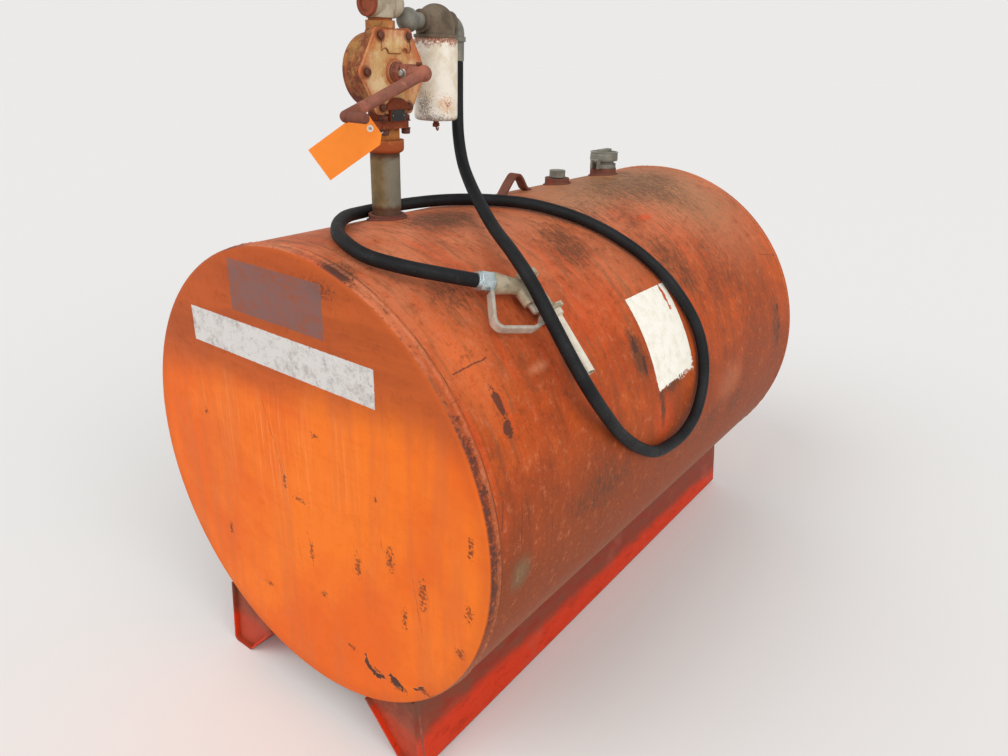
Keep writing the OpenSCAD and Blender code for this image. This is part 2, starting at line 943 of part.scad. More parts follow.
// Lifting lug: a flat strap bent over, standing on the shell
module lifting_lug() {
    bend_r = 15;
    foot = [lug_span / 2 - lug_t * 0.7, -6];
    bend_z = lug_h - lug_t / 2 - bend_r;
    rise = [foot.x, bend_z - foot.y];
    slope = atan2(rise.y, rise.x) + asin(bend_r / norm(rise));
    path = [[-foot.x, foot.y], [0, bend_z + bend_r / cos(slope)], foot];
    color(rust)
        difference() {
            translate([line_x - lug_w / 2, lug_y, seat_z])
                rotate([90, 0, 90])
                    linear_extrude(lug_w)
                        strap(rounded(path, bend_r), lug_t);
            shell_space(seat_gap);
        }
}

module vent_bung() {
    color(rust)
        difference() {
            on_line(vent_y)
                up_z(seat_z - 30, seat_z + vent_bung_h, vent_bung_d / 2);
            on_line(vent_y)
                up_z(seat_z - 40, seat_z + vent_bung_h + 1, vent_bore / 2);
            shell_space(seat_gap);
        }
}

module vent_cap() {
    color(galvanised)
        on_line(vent_y) {
            up_z(seat_z + 6, seat_z + vent_bung_h + 3, vent_bore / 2 - seat_gap);
            up_z(seat_z + vent_bung_h + 2, seat_z + vent_bung_h + 20, vent_cap_d / 2);
        }
}

module fill_bung() {
    color(rust)
        bung(fill_y, fill_flange_z, fill_bore);
}

// Fixed half of the fill cap: neck, flange and the hinge ears with their pin
module fill_cap_base() {
    ear_x = knuckle_w / 2 + side_gap;
    ear_r = 6;
    color(galvanised)
        difference() {
            union() {
                on_line(fill_y) {
                    up_z(fill_flange_z, fill_flange_z + 12, 36);
                    up_z(fill_flange_z, fill_neck_top, fill_neck_r);
                }
                for (side = [-1, 1])
                    translate([line_x + side * (ear_x + hinge_ear_w / 2) - hinge_ear_w / 2, 0, 0]) {
                        along_x(0, hinge_ear_w, ear_r, hinge_y, hinge_z);
                        translate([0, hinge_y - ear_r, fill_flange_z])
                            cube([hinge_ear_w, fill_y - 30 - hinge_y + ear_r, 12]);
                        translate([0, hinge_y - ear_r, fill_flange_z])
                            cube([hinge_ear_w, 2 * ear_r, hinge_z - fill_flange_z]);
                    }
                along_x(line_x - ear_x - eps, line_x + ear_x + eps, hinge_pin_d / 2, hinge_y, hinge_z);
            }
            on_line(fill_y)
                up_z(seat_z, fill_neck_top + 1, fill_bore / 2);
        }
}

// Lid of the fill cap: a hollow cap with a raised bar and a hinge knuckle
module fill_cap_lid() {
    edge = 7;
    r = lid_d / 2;
    top = lid_z + lid_h;
    bar_h = 8;
    color(galvanised)
        difference() {
            union() {
                on_line(fill_y) {
                    up_z(lid_z, top - bar_h - edge, r);
                    up_z(lid_z, top - bar_h, r - edge);
                    translate([0, 0, top - bar_h - edge])
                        rotate_extrude()
                            translate([r - edge, 0])
                                intersection() {
                                    circle(r = edge);
                                    translate([-edge, 0])
                                        square(2 * edge);
                                }
                    translate([-8, -r + 12, top - bar_h - eps])
                        cube([16, 2 * r - 24, bar_h + eps]);
                }
                along_x(line_x - knuckle_w / 2, line_x + knuckle_w / 2, 5.5, hinge_y, hinge_z);
                translate([line_x - knuckle_w / 2, hinge_y, hinge_z + 0.5])
                    cube([knuckle_w, fill_y - r + 4 - hinge_y, 5]);
            }
            on_line(fill_y)
                up_z(lid_z - 1, fill_neck_top + seat_gap, r - lid_wall);
            along_x(line_x - knuckle_w, line_x + knuckle_w, hinge_pin_d / 2 + run_gap, hinge_y, hinge_z);
        }
}

// Blank tag with two cut corners and an eyelet
module lot_tag() {
    cut = 14;
    color("orange")
        translate(tag_mid)
            rotate([0, 0, tag_heading])
                rotate([90, 0, 0])
                    rotate(tag_slope)
                        translate([0, 0, -tag_t / 2])
                            linear_extrude(tag_t)
                                difference() {
                                    polygon([[-tag_l / 2, -tag_w / 2], [tag_l / 2 - cut, -tag_w / 2],
                                        [tag_l / 2, -tag_w / 2 + cut], [tag_l / 2, tag_w / 2 - cut],
                                        [tag_l / 2 - cut, tag_w / 2], [-tag_l / 2, tag_w / 2]]);
                                    translate([tag_l / 2 - eyelet_in, 0])
                                        circle(d = eyelet_d);
                                }
}

// Middle of the tag's eyelet
eyelet = tag_mid + (tag_l / 2 - eyelet_in)
    * [cos(tag_slope) * cos(tag_heading), cos(tag_slope) * sin(tag_heading), sin(tag_slope)];
wire_d = 1.8;
tag_face = [sin(tag_heading), -cos(tag_heading), 0];
wire_top = [line_x + 32, riser_y - 31, foot_flange_z - wire_d / 2 - 0.2];
wire_path = [eyelet + 7 * tag_face + [0, 0, 5], eyelet + [0, 0, -1.4], eyelet - 8 * tag_face + [0, 0, 4],
    (eyelet + wire_top) / 2 + [2, -4, 2], wire_top + [7, -17, -6], wire_top];

module tag_wire() {
    color("white")
        tube(finer(wire_path), wire_d, 8);
}

tank_shell();
front_head();
rear_head();
left_skid();
right_skid();
left_skid_front_plate();
right_skid_front_plate();
left_skid_rear_plate();
right_skid_rear_plate();
pump_bung();
riser_pipe();
suction_pipe();
pump_inlet_hub();
pump_foot();
pump_body();
pump_cover();
pump_gland();
pump_crank();
crank_knob();
pump_outlet_neck();
outlet_casting();
casting_port_ring();
outlet_elbow();
filter_head();
filter_canister();
drain_cock();
hose_elbow();
hose_ferrule();
hose();
hose_coupling();
nozzle_body();
nozzle_guard();
nozzle_plunger();
nozzle_spout();
lifting_lug();
vent_bung();
vent_cap();
fill_bung();
fill_cap_base();
fill_cap_lid();
lot_tag();
tag_wire();
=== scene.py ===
import bmesh
import bpy
import json
import math
import random
from mathutils import Matrix, Vector, noise


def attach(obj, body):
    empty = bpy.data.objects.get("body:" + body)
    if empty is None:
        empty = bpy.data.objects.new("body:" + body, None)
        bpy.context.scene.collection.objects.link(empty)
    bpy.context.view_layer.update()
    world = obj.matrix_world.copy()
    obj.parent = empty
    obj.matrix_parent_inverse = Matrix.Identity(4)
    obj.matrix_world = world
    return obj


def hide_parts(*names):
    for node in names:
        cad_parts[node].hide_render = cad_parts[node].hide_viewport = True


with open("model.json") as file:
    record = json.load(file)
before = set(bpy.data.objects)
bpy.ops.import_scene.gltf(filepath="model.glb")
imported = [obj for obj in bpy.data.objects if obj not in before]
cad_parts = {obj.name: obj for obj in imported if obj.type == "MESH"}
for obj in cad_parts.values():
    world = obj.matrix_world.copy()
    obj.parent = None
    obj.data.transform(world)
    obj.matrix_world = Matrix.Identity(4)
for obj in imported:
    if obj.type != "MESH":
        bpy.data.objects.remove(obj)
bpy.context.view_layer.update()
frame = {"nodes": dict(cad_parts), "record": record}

nodes = frame["nodes"]
random.seed(11)

# Camera at the photograph's place
print("camera")
cameraSet = {
    "place": (1.08785, -1.55512, 1.37439),
    "heading": 36.37,        # degrees left of +Y
    "dip": -23.39,           # degrees below level
    "roll": 1.72,
    "focal": 27.056,         # mm on a 36 mm wide sensor
}


def aimCamera(opts):
    yaw, dip, roll = (math.radians(opts[k]) for k in ("heading", "dip", "roll"))
    ahead = Vector((-math.sin(yaw) * math.cos(dip), math.cos(yaw) * math.cos(dip), math.sin(dip)))
    right = Vector((math.cos(yaw), math.sin(yaw), 0))
    up = right.cross(ahead)
    side = math.cos(roll) * right + math.sin(roll) * up
    top = math.cos(roll) * up - math.sin(roll) * right
    data = bpy.data.cameras.new("photo_view")
    data.sensor_fit = "HORIZONTAL"
    data.sensor_width = 36
    data.lens = opts["focal"]
    data.clip_end = 200
    cam = bpy.data.objects.new("photo_view", data)
    bpy.context.scene.collection.objects.link(cam)
    turn = Matrix((side, top, -ahead)).transposed().to_4x4()
    cam.matrix_world = Matrix.Translation(opts["place"]) @ turn
    bpy.context.scene.camera = cam


aimCamera(cameraSet)

# Hose, along the same points as its solid
print("hose")
hoseSet = {
    "diameter": 0.026,
    "length": 3.16,
    "steps": 6,              # points drawn between two of the route's
    "route": [
        (-0.061, -0.200, 1.350), (-0.060, -0.200, 1.250), (-0.048, -0.210, 1.195), (-0.010, -0.240, 1.145),
        (0.045, -0.280, 1.110), (0.110, -0.325, 1.080), (0.185, -0.375, 1.051), (0.264, -0.425, 1.029),
        (0.334, -0.460, 0.994), (0.385, -0.470, 0.940), (0.435, -0.475, 0.880), (0.470, -0.460, 0.820),
        (0.486, -0.410, 0.750), (0.488, -0.345, 0.685), (0.495, -0.275, 0.630), (0.500, -0.200, 0.590),
        (0.500, -0.125, 0.575), (0.503, -0.055, 0.580), (0.500, 0.010, 0.610), (0.488, 0.057, 0.670),
        (0.467, 0.077, 0.740), (0.435, 0.075, 0.808), (0.383, 0.052, 0.883), (0.326, 0.020, 0.942),
        (0.265, -0.015, 0.987), (0.205, -0.050, 1.019), (0.145, -0.090, 1.042), (0.080, -0.135, 1.057),
        (0.010, -0.190, 1.062), (-0.055, -0.245, 1.060), (-0.100, -0.310, 1.055), (-0.120, -0.380, 1.051),
        (-0.110, -0.455, 1.053), (-0.072, -0.530, 1.060), (-0.010, -0.605, 1.063), (0.060, -0.660, 1.060),
        (0.140, -0.680, 1.047), (0.205, -0.655, 1.034), (0.252, -0.603, 1.018), (0.275, -0.547, 1.001)],
}


def smoothPath(points, steps):           # a curve through the points, with steps parts to each gap
    pts = [Vector(p) for p in points]
    pts = [2 * pts[0] - pts[1]] + pts + [2 * pts[-1] - pts[-2]]
    out = []
    for a, b, c, d in zip(pts, pts[1:], pts[2:], pts[3:]):
        for i in range(steps):
            t = i / steps
            out.append(0.5 * (2 * b + (c - a) * t + (2 * a - 5 * b + 4 * c - d) * t * t
                              + (3 * b - a - 3 * c + d) * t ** 3))
    return out + [pts[-2]]


def makeHose(opts):
    data = bpy.data.curves.new("fuel_hose", "CURVE")
    data.dimensions = "3D"
    line = smoothPath(opts["route"], opts["steps"])
    spline = data.splines.new("POLY")
    spline.points.add(len(line) - 1)
    for point, at in zip(spline.points, line):
        point.co = (*at, 1)
    data.bevel_depth = opts["diameter"] / 2
    data.bevel_resolution = 7
    data.use_fill_caps = True
    hose = bpy.data.objects.new("fuel_hose", data)
    bpy.context.scene.collection.objects.link(hose)
    return hose


hose = makeHose(hoseSet)
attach(hose, "root")
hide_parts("hose")

# Tools for the node materials. Colours are red, green and blue as a screen shows them, 0 to 255
bench = {}               # the node tree of the finish in hand


def tint(red, green, blue):              # the linear colour that Blender keeps
    def one(v):
        v /= 255
        return v / 12.92 if v <= 0.04045 else ((v + 0.055) / 1.055) ** 2.4
    return (one(red), one(green), one(blue), 1)


def feed(socket, value):                 # links a socket, or sets a plain value
    if isinstance(value, bpy.types.NodeSocket):
        bench["tree"].links.new(value, socket)
    else:
        socket.default_value = value


def place(kind, inputs, **settings):
    node = bench["tree"].nodes.new(kind)
    for key, value in settings.items():
        setattr(node, key, value)
    for key, value in inputs.items():
        feed(node.inputs[key], value)
    return node


def newFinish(name, roughness=0.6, metallic=0.0, specular=0.5):
    mat = bpy.data.materials.new(name)
    mat.use_nodes = True
    mat.node_tree.nodes.clear()
    bench["tree"] = mat.node_tree
    shader = place("ShaderNodeBsdfPrincipled",
                   {"Roughness": roughness, "Metallic": metallic, "Specular IOR Level": specular})
    place("ShaderNodeOutputMaterial", {0: shader.outputs[0]})
    return mat, shader, place("ShaderNodeTexCoord", {}).outputs["Object"]


def calc(operation, a, b=0.0):
    return place("ShaderNodeMath", {0: a, 1: b}, operation=operation).outputs[0]


def plus(a, b):
    return calc("ADD", a, b)


def less(a, b):
    return calc("SUBTRACT", a, b)


def both(a, b):                          # product of two masks
    return calc("MULTIPLY", a, b)


def either(a, b):                        # the stronger of two masks
    return calc("MAXIMUM", a, b)


def reach(a, b):                         # distance of a point from the middle
    return calc("SQRT", plus(both(a, a), both(b, b)))


def sway(noise, size):                   # a noise as an offset to either side
    return both(less(noise, 0.5), size)


def cloud(where, scale, detail=4.0, rough=0.55, twist=0.0):      # scale is a number, or one for each axis
    if isinstance(scale, tuple):
        where = place("ShaderNodeVectorMath", {0: where, 1: scale}, operation="MULTIPLY").outputs[0]
        scale = 1
    return place("ShaderNodeTexNoise", {"Vector": where, "Scale": scale, "Detail": detail,
                                        "Roughness": rough, "Distortion": twist}).outputs[0]


def clouds(where, opts):                 # all noises of a settings dictionary, by name
    return {name: cloud(where, *row) for name, row in opts["noises"].items()}


def between(value, low, high, start=0.0, end=1.0):       # smooth step from low to high
    return place("ShaderNodeMapRange", {0: value, 1: low, 2: high, 3: start, 4: end},
                 interpolation_type="SMOOTHSTEP").outputs[0]


def mix(share, a, b):                    # colours, from a to b
    a, b = (tint(*v) if isinstance(v, tuple) else v for v in (a, b))
    return place("ShaderNodeMix", {0: share, 6: a, 7: b}, data_type="RGBA").outputs[2]


def over(paint, colour, share, strength=1.0):            # a colour laid over the paint
    return mix(share if strength == 1.0 else both(share, strength), paint, colour)


def spread(paint, noises, opts, rows, mask=None):
    # lays a colour where a noise goes from low to high: noise, low, high, strength, colour
    for name, low, high, strength, colour in opts[rows]:
        share = between(noises[name], low, high)
        paint = over(paint, opts[colour], share if mask is None else both(share, mask), strength)
    return paint


def split(where):
    return place("ShaderNodeSeparateXYZ", {0: where}).outputs


def join(x, y, z):
    return place("ShaderNodeCombineXYZ", {0: x, 1: y, 2: z}).outputs[0]


def rounded(size, samples):
    return place("ShaderNodeBevel", {"Radius": size}, samples=samples).outputs[0]


def edgeWear(size, low, high):           # 1 on the sharp edges, 0 on the flats
    flat = place("ShaderNodeNewGeometry", {}).outputs["Normal"]
    dot = place("ShaderNodeVectorMath", {0: rounded(size, 6), 1: flat}, operation="DOT_PRODUCT")
    return between(dot.outputs[1], high, low)


def away(across, along, at, size):       # 0 at the middle of an ellipse, 1 at its edge
    return reach(*(calc("DIVIDE", less(v, m), s) for v, m, s in zip((across, along), at, size)))


def soft(across, along, at, size):       # a patch that fades out to all sides
    return between(away(across, along, at, size), 1.5, 0.15)


def cluster(across, along, at, size, grain, gain):
    # specks that are dense in the middle of a patch and thin out at its edge
    fall = soft(across, along, at, size)
    specks = between(plus(grain, both(fall, gain)), 0.60, 0.64)
    return both(specks, between(fall, 0.0, 0.12))


def panel(across, along, box, ragged, edge):
    # a rectangle: box is low and high across, low and high along
    low = calc("MINIMUM", less(across, box[0]), less(box[1], across))
    side = calc("MINIMUM", less(along, box[2]), less(box[3], along))
    return between(plus(calc("MINIMUM", low, side), ragged), 0.0, edge)


def scratch(across, along, line, half, waver, edge=None):
    # a thin line between two points, soft to its middle unless an edge is given
    x0, y0, x1, y1 = line
    size = math.hypot(x1 - x0, y1 - y0)
    u, v = (x1 - x0) / size, (y1 - y0) / size
    a, b = less(across, x0), less(along, y0)
    far, off = plus(both(a, u), both(b, v)), plus(both(a, -v), both(b, u))
    return panel(plus(off, waver), far, (-half, half, 0, size), waver if edge else 0.0, edge or half)


def dress(shader, paint, mottle, rough, height, strength, depth, rounding=0.0):
    # gives a shader its colour, its roughness from smooth to rough, and its bumps
    bump = place("ShaderNodeBump", {"Strength": strength, "Distance": depth, "Height": height})
    if rounding:             # soft edges, as on a casting
        feed(bump.inputs["Normal"], rounded(rounding, 4))
    feed(shader.inputs["Base Color"], paint)
    feed(shader.inputs["Roughness"], between(mottle, 0.25, 0.8, *rough))
    feed(shader.inputs["Normal"], bump.outputs[0])


print("tank paint")
tankSet = {
    "radius": 0.4825,
    "axisHeight": 0.565,
    "orange": (200, 86, 26),
    "deep": (178, 72, 24),
    "chalk": (212, 130, 92),
    "fresh": (222, 78, 28),
    "dirt": (146, 108, 74),
    "brown": (134, 62, 28),
    "dark": (92, 60, 40),
    "rust": (84, 50, 42),
    "dust": (146, 98, 72),
    "olive": (164, 128, 92),
    "stain": (112, 104, 78),
    "light": (236, 118, 60),
    "grime": (128, 84, 56),
    "white": (250, 246, 234),
    "yellowed": (224, 214, 190),
    # scale, detail, roughness, twist
    "noises": {
        "blotch": (5.0, 7, 0.66), "mottle": (38, 8, 0.76), "grain": (130, 8, 0.80),
        "brushed": ((48, 105, 1), 10, 0.86, 0.8), "runs": ((3.0, 26, 1), 7, 0.70, 0.5),
        "streaks": ((9, 62, 1), 8, 0.74, 0.6), "drips": ((5, 150, 1), 7, 0.72, 0.3),
        "tears": (95, 7, 0.75), "flecks": (150, 7, 0.82)},
    # noise, low, high, strength, colour
    "ground": [("blotch", 0.36, 0.62, 1.0, "deep"), ("runs", 0.52, 0.68, 0.6, "fresh"),
               ("runs", 0.50, 0.34, 0.45, "brown")],
    "streaked": [("streaks", 0.49, 0.64, 0.65, "grime"), ("streaks", 0.46, 0.34, 0.45, "fresh")],
    "mottled": [("mottle", 0.52, 0.70, 0.60, "chalk"), ("mottle", 0.48, 0.32, 0.75, "brown"),
                ("grain", 0.54, 0.68, 0.55, "brown"), ("grain", 0.46, 0.34, 0.35, "chalk")],
    "dripping": [("drips", 0.56, 0.70, 0.6, "dark")],
    "dotted": [("grain", 0.66, 0.72, 0.8, "rust")],
    "labelWear": [("mottle", 0.42, 0.72, 0.7, "yellowed")],
    # soft tones: degrees from the top, metres along, size round, size along, colour, strength
    "tones": [
        (10, 0.40, 0.14, 0.24, "dirt", 0.6), (-14, 0.30, 0.16, 0.50, "dirt", 0.7),
        (4, -0.36, 0.07, 0.09, "dark", 0.8), (28, -0.17, 0.07, 0.06, "brown", 0.6),
        (46, 0.15, 0.10, 0.06, "brown", 0.7), (64, 0.50, 0.30, 0.14, "brown", 0.6),
        (36, 0.52, 0.16, 0.20, "chalk", 0.6), (34, -0.04, 0.12, 0.12, "chalk", 0.45),
        (14, -0.10, 0.05, 0.30, "chalk", 0.7), (27, 0.205, 0.012, 0.040, "fresh", 0.9),
        (82, -0.12, 0.05, 0.05, "fresh", 0.8), (53.6, -0.50, 0.010, 0.034, "chalk", 0.9),
        (48, -0.28, 0.07, 0.12, "fresh", 0.4), (62, -0.18, 0.05, 0.028, "dark", 0.6),
        (78, -0.12, 0.03, 0.012, "dark", 0.8), (5, 0.36, 0.12, 0.36, "olive", 1.0),
        (24, 0.52, 0.14, 0.20, "olive", 0.8), (12, 0.05, 0.07, 0.14, "olive", 0.6),
        (46, -0.665, 0.11, 0.06, "light", 0.7), (84, -0.42, 0.10, 0.11, "brown", 0.6),
        (93, -0.665, 0.034, 0.030, "stain", 1.0), (86, 0.27, 0.05, 0.08, "chalk", 0.5),
        (-60, 0.0, 0.22, 0.50, "brown", 0.5)],
    # where brown specks gather, with their strength
    "specks": [
        (4, -0.36, 0.08, 0.12, 1.0), (14, 0.30, 0.12, 0.40, 0.45), (27, -0.18, 0.09, 0.07, 1.0),
        (31, -0.58, 0.06, 0.06, 0.8), (44, 0.14, 0.14, 0.08, 0.9), (8, 0.42, 0.16, 0.26, 0.65),
        (60, 0.38, 0.30, 0.20, 0.55), (62, -0.18, 0.06, 0.035, 1.2), (74, -0.06, 0.02, 0.07, 1.3),
        (80, -0.125, 0.06, 0.012, 1.2), (95, 0.15, 0.06, 0.30, 0.6), (78, 0.62, 0.10, 0.04, 0.9),
        (16, -0.73, 0.04, 0.04, 1.1), (-30, 0.0, 0.16, 0.60, 0.8), (-80, 0.1, 0.20, 0.60, 0.5),
        (88, -0.40, 0.05, 0.14, 0.9), (20, 0.0, 0.10, 0.15, 0.5)],
    # rust that shows as a sharp patch
    "chips": [(56.5, -0.635, 0.032, 0.011), (62, -0.641, 0.018, 0.014), (16, -0.738, 0.036, 0.022),
              (73, 0.638, 0.012, 0.008), (80, 0.643, 0.012, 0.008), (84, 0.628, 0.010, 0.008),
              (60, -0.18, 0.020, 0.012), (66, -0.168, 0.030, 0.010)],
    # scratches: from degrees, metres along, to degrees, metres along, half width in metres
    "scratches": [(47.4, -0.702, 47.0, -0.608, 0.0026), (80, -0.716, 74, -0.700, 0.002),
                  (86, -0.668, 77, -0.655, 0.0016), (53.4, 0.619, 57.0, 0.750, 0.0018)],
    "oldLabel": (48.2, 74.4, -0.135, 0.048),     # degrees and metres along
    "labelHole": (51, 0.022, 0.050, 0.007),
    "seam": (0.7225, 0.7325),                    # metres along, either end
}


def shellColour(where, opts):            # the shell's paint, its mask of the old label, and its mottling
    x, y, z = split(where)
    angle = calc("ARCTAN2", x, less(z, opts["axisHeight"]))
    turn = calc("ABSOLUTE", angle)
    arc = both(angle, opts["radius"])
    noises = clouds(join(arc, y, 0.0), opts)
    blotch, mottle, grain, brushed = (noises[k] for k in ("blotch", "mottle", "grain", "brushed"))

    def onArc(degrees):
        return math.radians(degrees) * opts["radius"]

    paint = spread(opts["orange"], noises, opts, "ground")
    fade = both(between(turn, 1.15, 0.2), between(blotch, 0.62, 0.38, 0.35, 0.85))
    paint = over(paint, opts["chalk"], fade)
    paint = spread(paint, noises, opts, "streaked", between(turn, 1.5, 0.8))
    # painted shade: the lower flank darkened to brown towards the bottom
    paint = over(paint, opts["brown"], between(plus(turn, both(blotch, 0.45)), 1.25, 1.95), 0.9)
    film = between(brushed, 0.34, 0.62, 0.35, 1.0)
    for degrees, along, sizeRound, sizeAlong, colour, strength in opts["tones"]:
        share = soft(arc, y, (onArc(degrees), along), (sizeRound, sizeAlong))
        paint = over(paint, opts[colour], both(share, film), strength)
    paint = spread(paint, noises, opts, "mottled")
    density = plus(sway(blotch, 0.30), 0.05)
    for degrees, along, sizeRound, sizeAlong, strength in opts["specks"]:
        share = soft(arc, y, (onArc(degrees), along), (sizeRound, sizeAlong))
        density = plus(density, both(share, strength * 0.16))
    paint = over(paint, opts["dark"], between(plus(brushed, density), 0.60, 0.76), 0.75)
    paint = spread(paint, noises, opts, "dripping", between(turn, 0.7, 1.2))
    paint = over(paint, opts["dust"], between(plus(turn, both(blotch, 0.2)), 1.95, 2.3), 0.8)
    paint = spread(paint, noises, opts, "dotted")
    for degrees, along, sizeRound, sizeAlong in opts["chips"]:
        share = cluster(arc, y, (onArc(degrees), along), (sizeRound, sizeAlong), mottle, 0.24)
        paint = over(paint, opts["rust"], share, 0.85)
    waver = sway(mottle, 0.012)
    for a0, y0, a1, y1, half in opts["scratches"]:
        share = scratch(arc, y, (onArc(a0), y0, onArc(a1), y1), half, waver)
        paint = over(paint, opts["rust"], share, 0.85)
    # the seam: a pale line painted along the bead as its highlight, a painted shadow line beside it, and rust
    # that breaks out along it
    far = calc("ABSOLUTE", y)
    near, end = opts["seam"]
    seamHighlight = both(between(far, near, near + 0.002), between(far, end + 0.002, end))
    paint = over(paint, opts["chalk"], both(seamHighlight, between(grain, 0.35, 0.6, 0.6, 0.1)))
    # painted shadow: a dark line just outside the bead
    line = both(between(far, near - 0.003, near - 0.001), between(far, near + 0.001, near))
    paint = over(paint, opts["dark"], both(line, between(mottle, 0.40, 0.60, 0.2, 0.8)))
    bare = both(between(angle, 0.85, 1.10), between(angle, 1.90, 1.65))
    bare = either(bare, both(between(turn, 0.2, 0.3), between(turn, 0.42, 0.3)))
    edge = between(plus(y, sway(mottle, 0.09)), -0.734, -0.740)
    edge = both(edge, between(plus(grain, both(bare, 0.12)), 0.56, 0.60))
    paint = over(paint, opts["rust"], edge, 0.85)
    # what is left of an old label
    low, high, near, end = opts["oldLabel"]
    tear = less(noises["tears"], 0.56)
    torn = both(between(angle, math.radians(high - 6), math.radians(high)), 0.085)
    torn = both(torn, between(y, near + 0.01, near + 0.06, 0.3, 1.0))
    ends = plus(both(torn, tear), both(tear, 0.006))
    label = panel(arc, y, (onArc(low), onArc(high), near, end), ends, 0.0008)
    degrees, along, sizeRound, sizeAlong = opts["labelHole"]
    hole = cluster(arc, y, (onArc(degrees), along), (sizeRound, sizeAlong), mottle, 0.2)
    lost = either(between(noises["flecks"], 0.66, 0.69), hole)
    label = both(label, less(1.0, lost))
    return mix(label, paint, spread(opts["white"], noises, opts, "labelWear")), label, mottle


def makeTankPaint(opts):
    mat, shader, where = newFinish("tank_paint_worn", specular=0.16)
    paint, label, mottle = shellColour(where, opts)
    heights = plus(cloud(where, 240, 3, 0.7), plus(mottle, both(label, 0.5)))
    dress(shader, paint, mottle, (0.48, 0.74), heights, 0.5, 0.0010)
    return mat


headSet = {
    "orange": (244, 120, 22),
    "deep": (232, 100, 14),
    "dull": (214, 104, 44),
    "upper": (166, 74, 28),
    "upperTwo": (186, 84, 32),
    "rust": (104, 52, 30),
    "pale": (246, 160, 96),
    "white": (214, 210, 206),
    "grey": (118, 92, 90),
    "black": (70, 62, 64),
    "bare": (66, 36, 30),
    "noises": {
        "blotch": (3.2, 6, 0.62), "mottle": (36, 8, 0.76), "grain": (130, 8, 0.80),
        "drips": ((120, 3.2, 1), 7, 0.68, 0.2), "wide": ((16, 1.6, 1), 6, 0.62, 0.5),
        "swept": ((2.2, 13, 1), 6, 0.66, 1.2), "jags": (110, 6, 0.7)},
    # noise, low, high, strength, colour
    "ground": [("blotch", 0.38, 0.64, 1.0, "deep"), ("wide", 0.46, 0.68, 0.55, "dull"),
               ("swept", 0.52, 0.70, 0.45, "deep")],
    "dripping": [("drips", 0.50, 0.70, 0.55, "pale")],
    "mottled": [("mottle", 0.50, 0.76, 0.40, "dull")],
    "darkUpperHalf": [("swept", 0.35, 0.65, 1.0, "upperTwo"), ("mottle", 0.50, 0.76, 0.5, "rust")],
    "stripWear": [("mottle", 0.45, 0.70, 0.55, "grey"), ("grain", 0.56, 0.66, 0.5, "black")],
    "dotted": [("grain", 0.68, 0.73, 0.7, "rust")],
    # rust specks: x, height, half width, half height
    "chips": [(0.262, 0.206, 0.030, 0.012), (0.196, 0.211, 0.022, 0.007), (0.331, 0.238, 0.020, 0.010),
              (0.022, 0.420, 0.007, 0.030), (-0.139, 0.261, 0.020, 0.007), (0.126, 0.231, 0.016, 0.008),
              (-0.263, 0.354, 0.008, 0.020), (0.283, 0.387, 0.008, 0.030), (-0.002, 0.535, 0.028, 0.006),
              (0.216, 0.624, 0.006, 0.010), (0.060, 0.700, 0.012, 0.008), (0.100, 0.995, 0.045, 0.022),
              (0.249, 0.508, 0.012, 0.036), (0.052, 0.330, 0.012, 0.012), (-0.300, 0.640, 0.010, 0.010),
              (-0.045, 0.560, 0.007, 0.022), (0.160, 0.450, 0.010, 0.030), (0.330, 0.470, 0.012, 0.040),
              (0.438, 0.484, 0.010, 0.026), (0.418, 0.384, 0.014, 0.014), (0.440, 0.620, 0.008, 0.030)],
    # paint flaked off down to dark primer: x, height to x, height, half width
    "flaked": [(0.166, 0.238, 0.170, 0.222, 0.0044), (0.168, 0.225, 0.174, 0.210, 0.0062),
               (0.172, 0.213, 0.186, 0.202, 0.0068), (0.184, 0.204, 0.201, 0.199, 0.0068),
               (0.197, 0.199, 0.221, 0.208, 0.0048), (0.235, 0.224, 0.248, 0.216, 0.0062),
               (0.243, 0.219, 0.263, 0.211, 0.0100), (0.258, 0.214, 0.273, 0.208, 0.0062),
               (0.300, 0.226, 0.318, 0.234, 0.0036), (0.314, 0.236, 0.328, 0.245, 0.0050)],
    "flakeEdge": 0.0008,
    "flakeLip": 0.0012,
    # thin scratches, by the same five values
    "lines": [(-0.093, 0.729, -0.045, 0.565, 0.0011), (0.010, 0.470, 0.030, 0.410, 0.0013),
              (0.150, 0.500, 0.190, 0.440, 0.0009), (0.226, 0.560, 0.232, 0.505, 0.0009),
              (0.300, 0.520, 0.330, 0.360, 0.0010), (-0.020, 0.440, -0.012, 0.360, 0.0009)],
    "upperLabel": (-0.158, 0.107, 0.902, 1.005),
    "lowerStrip": (-0.301, 0.227, 0.807, 0.882),
}


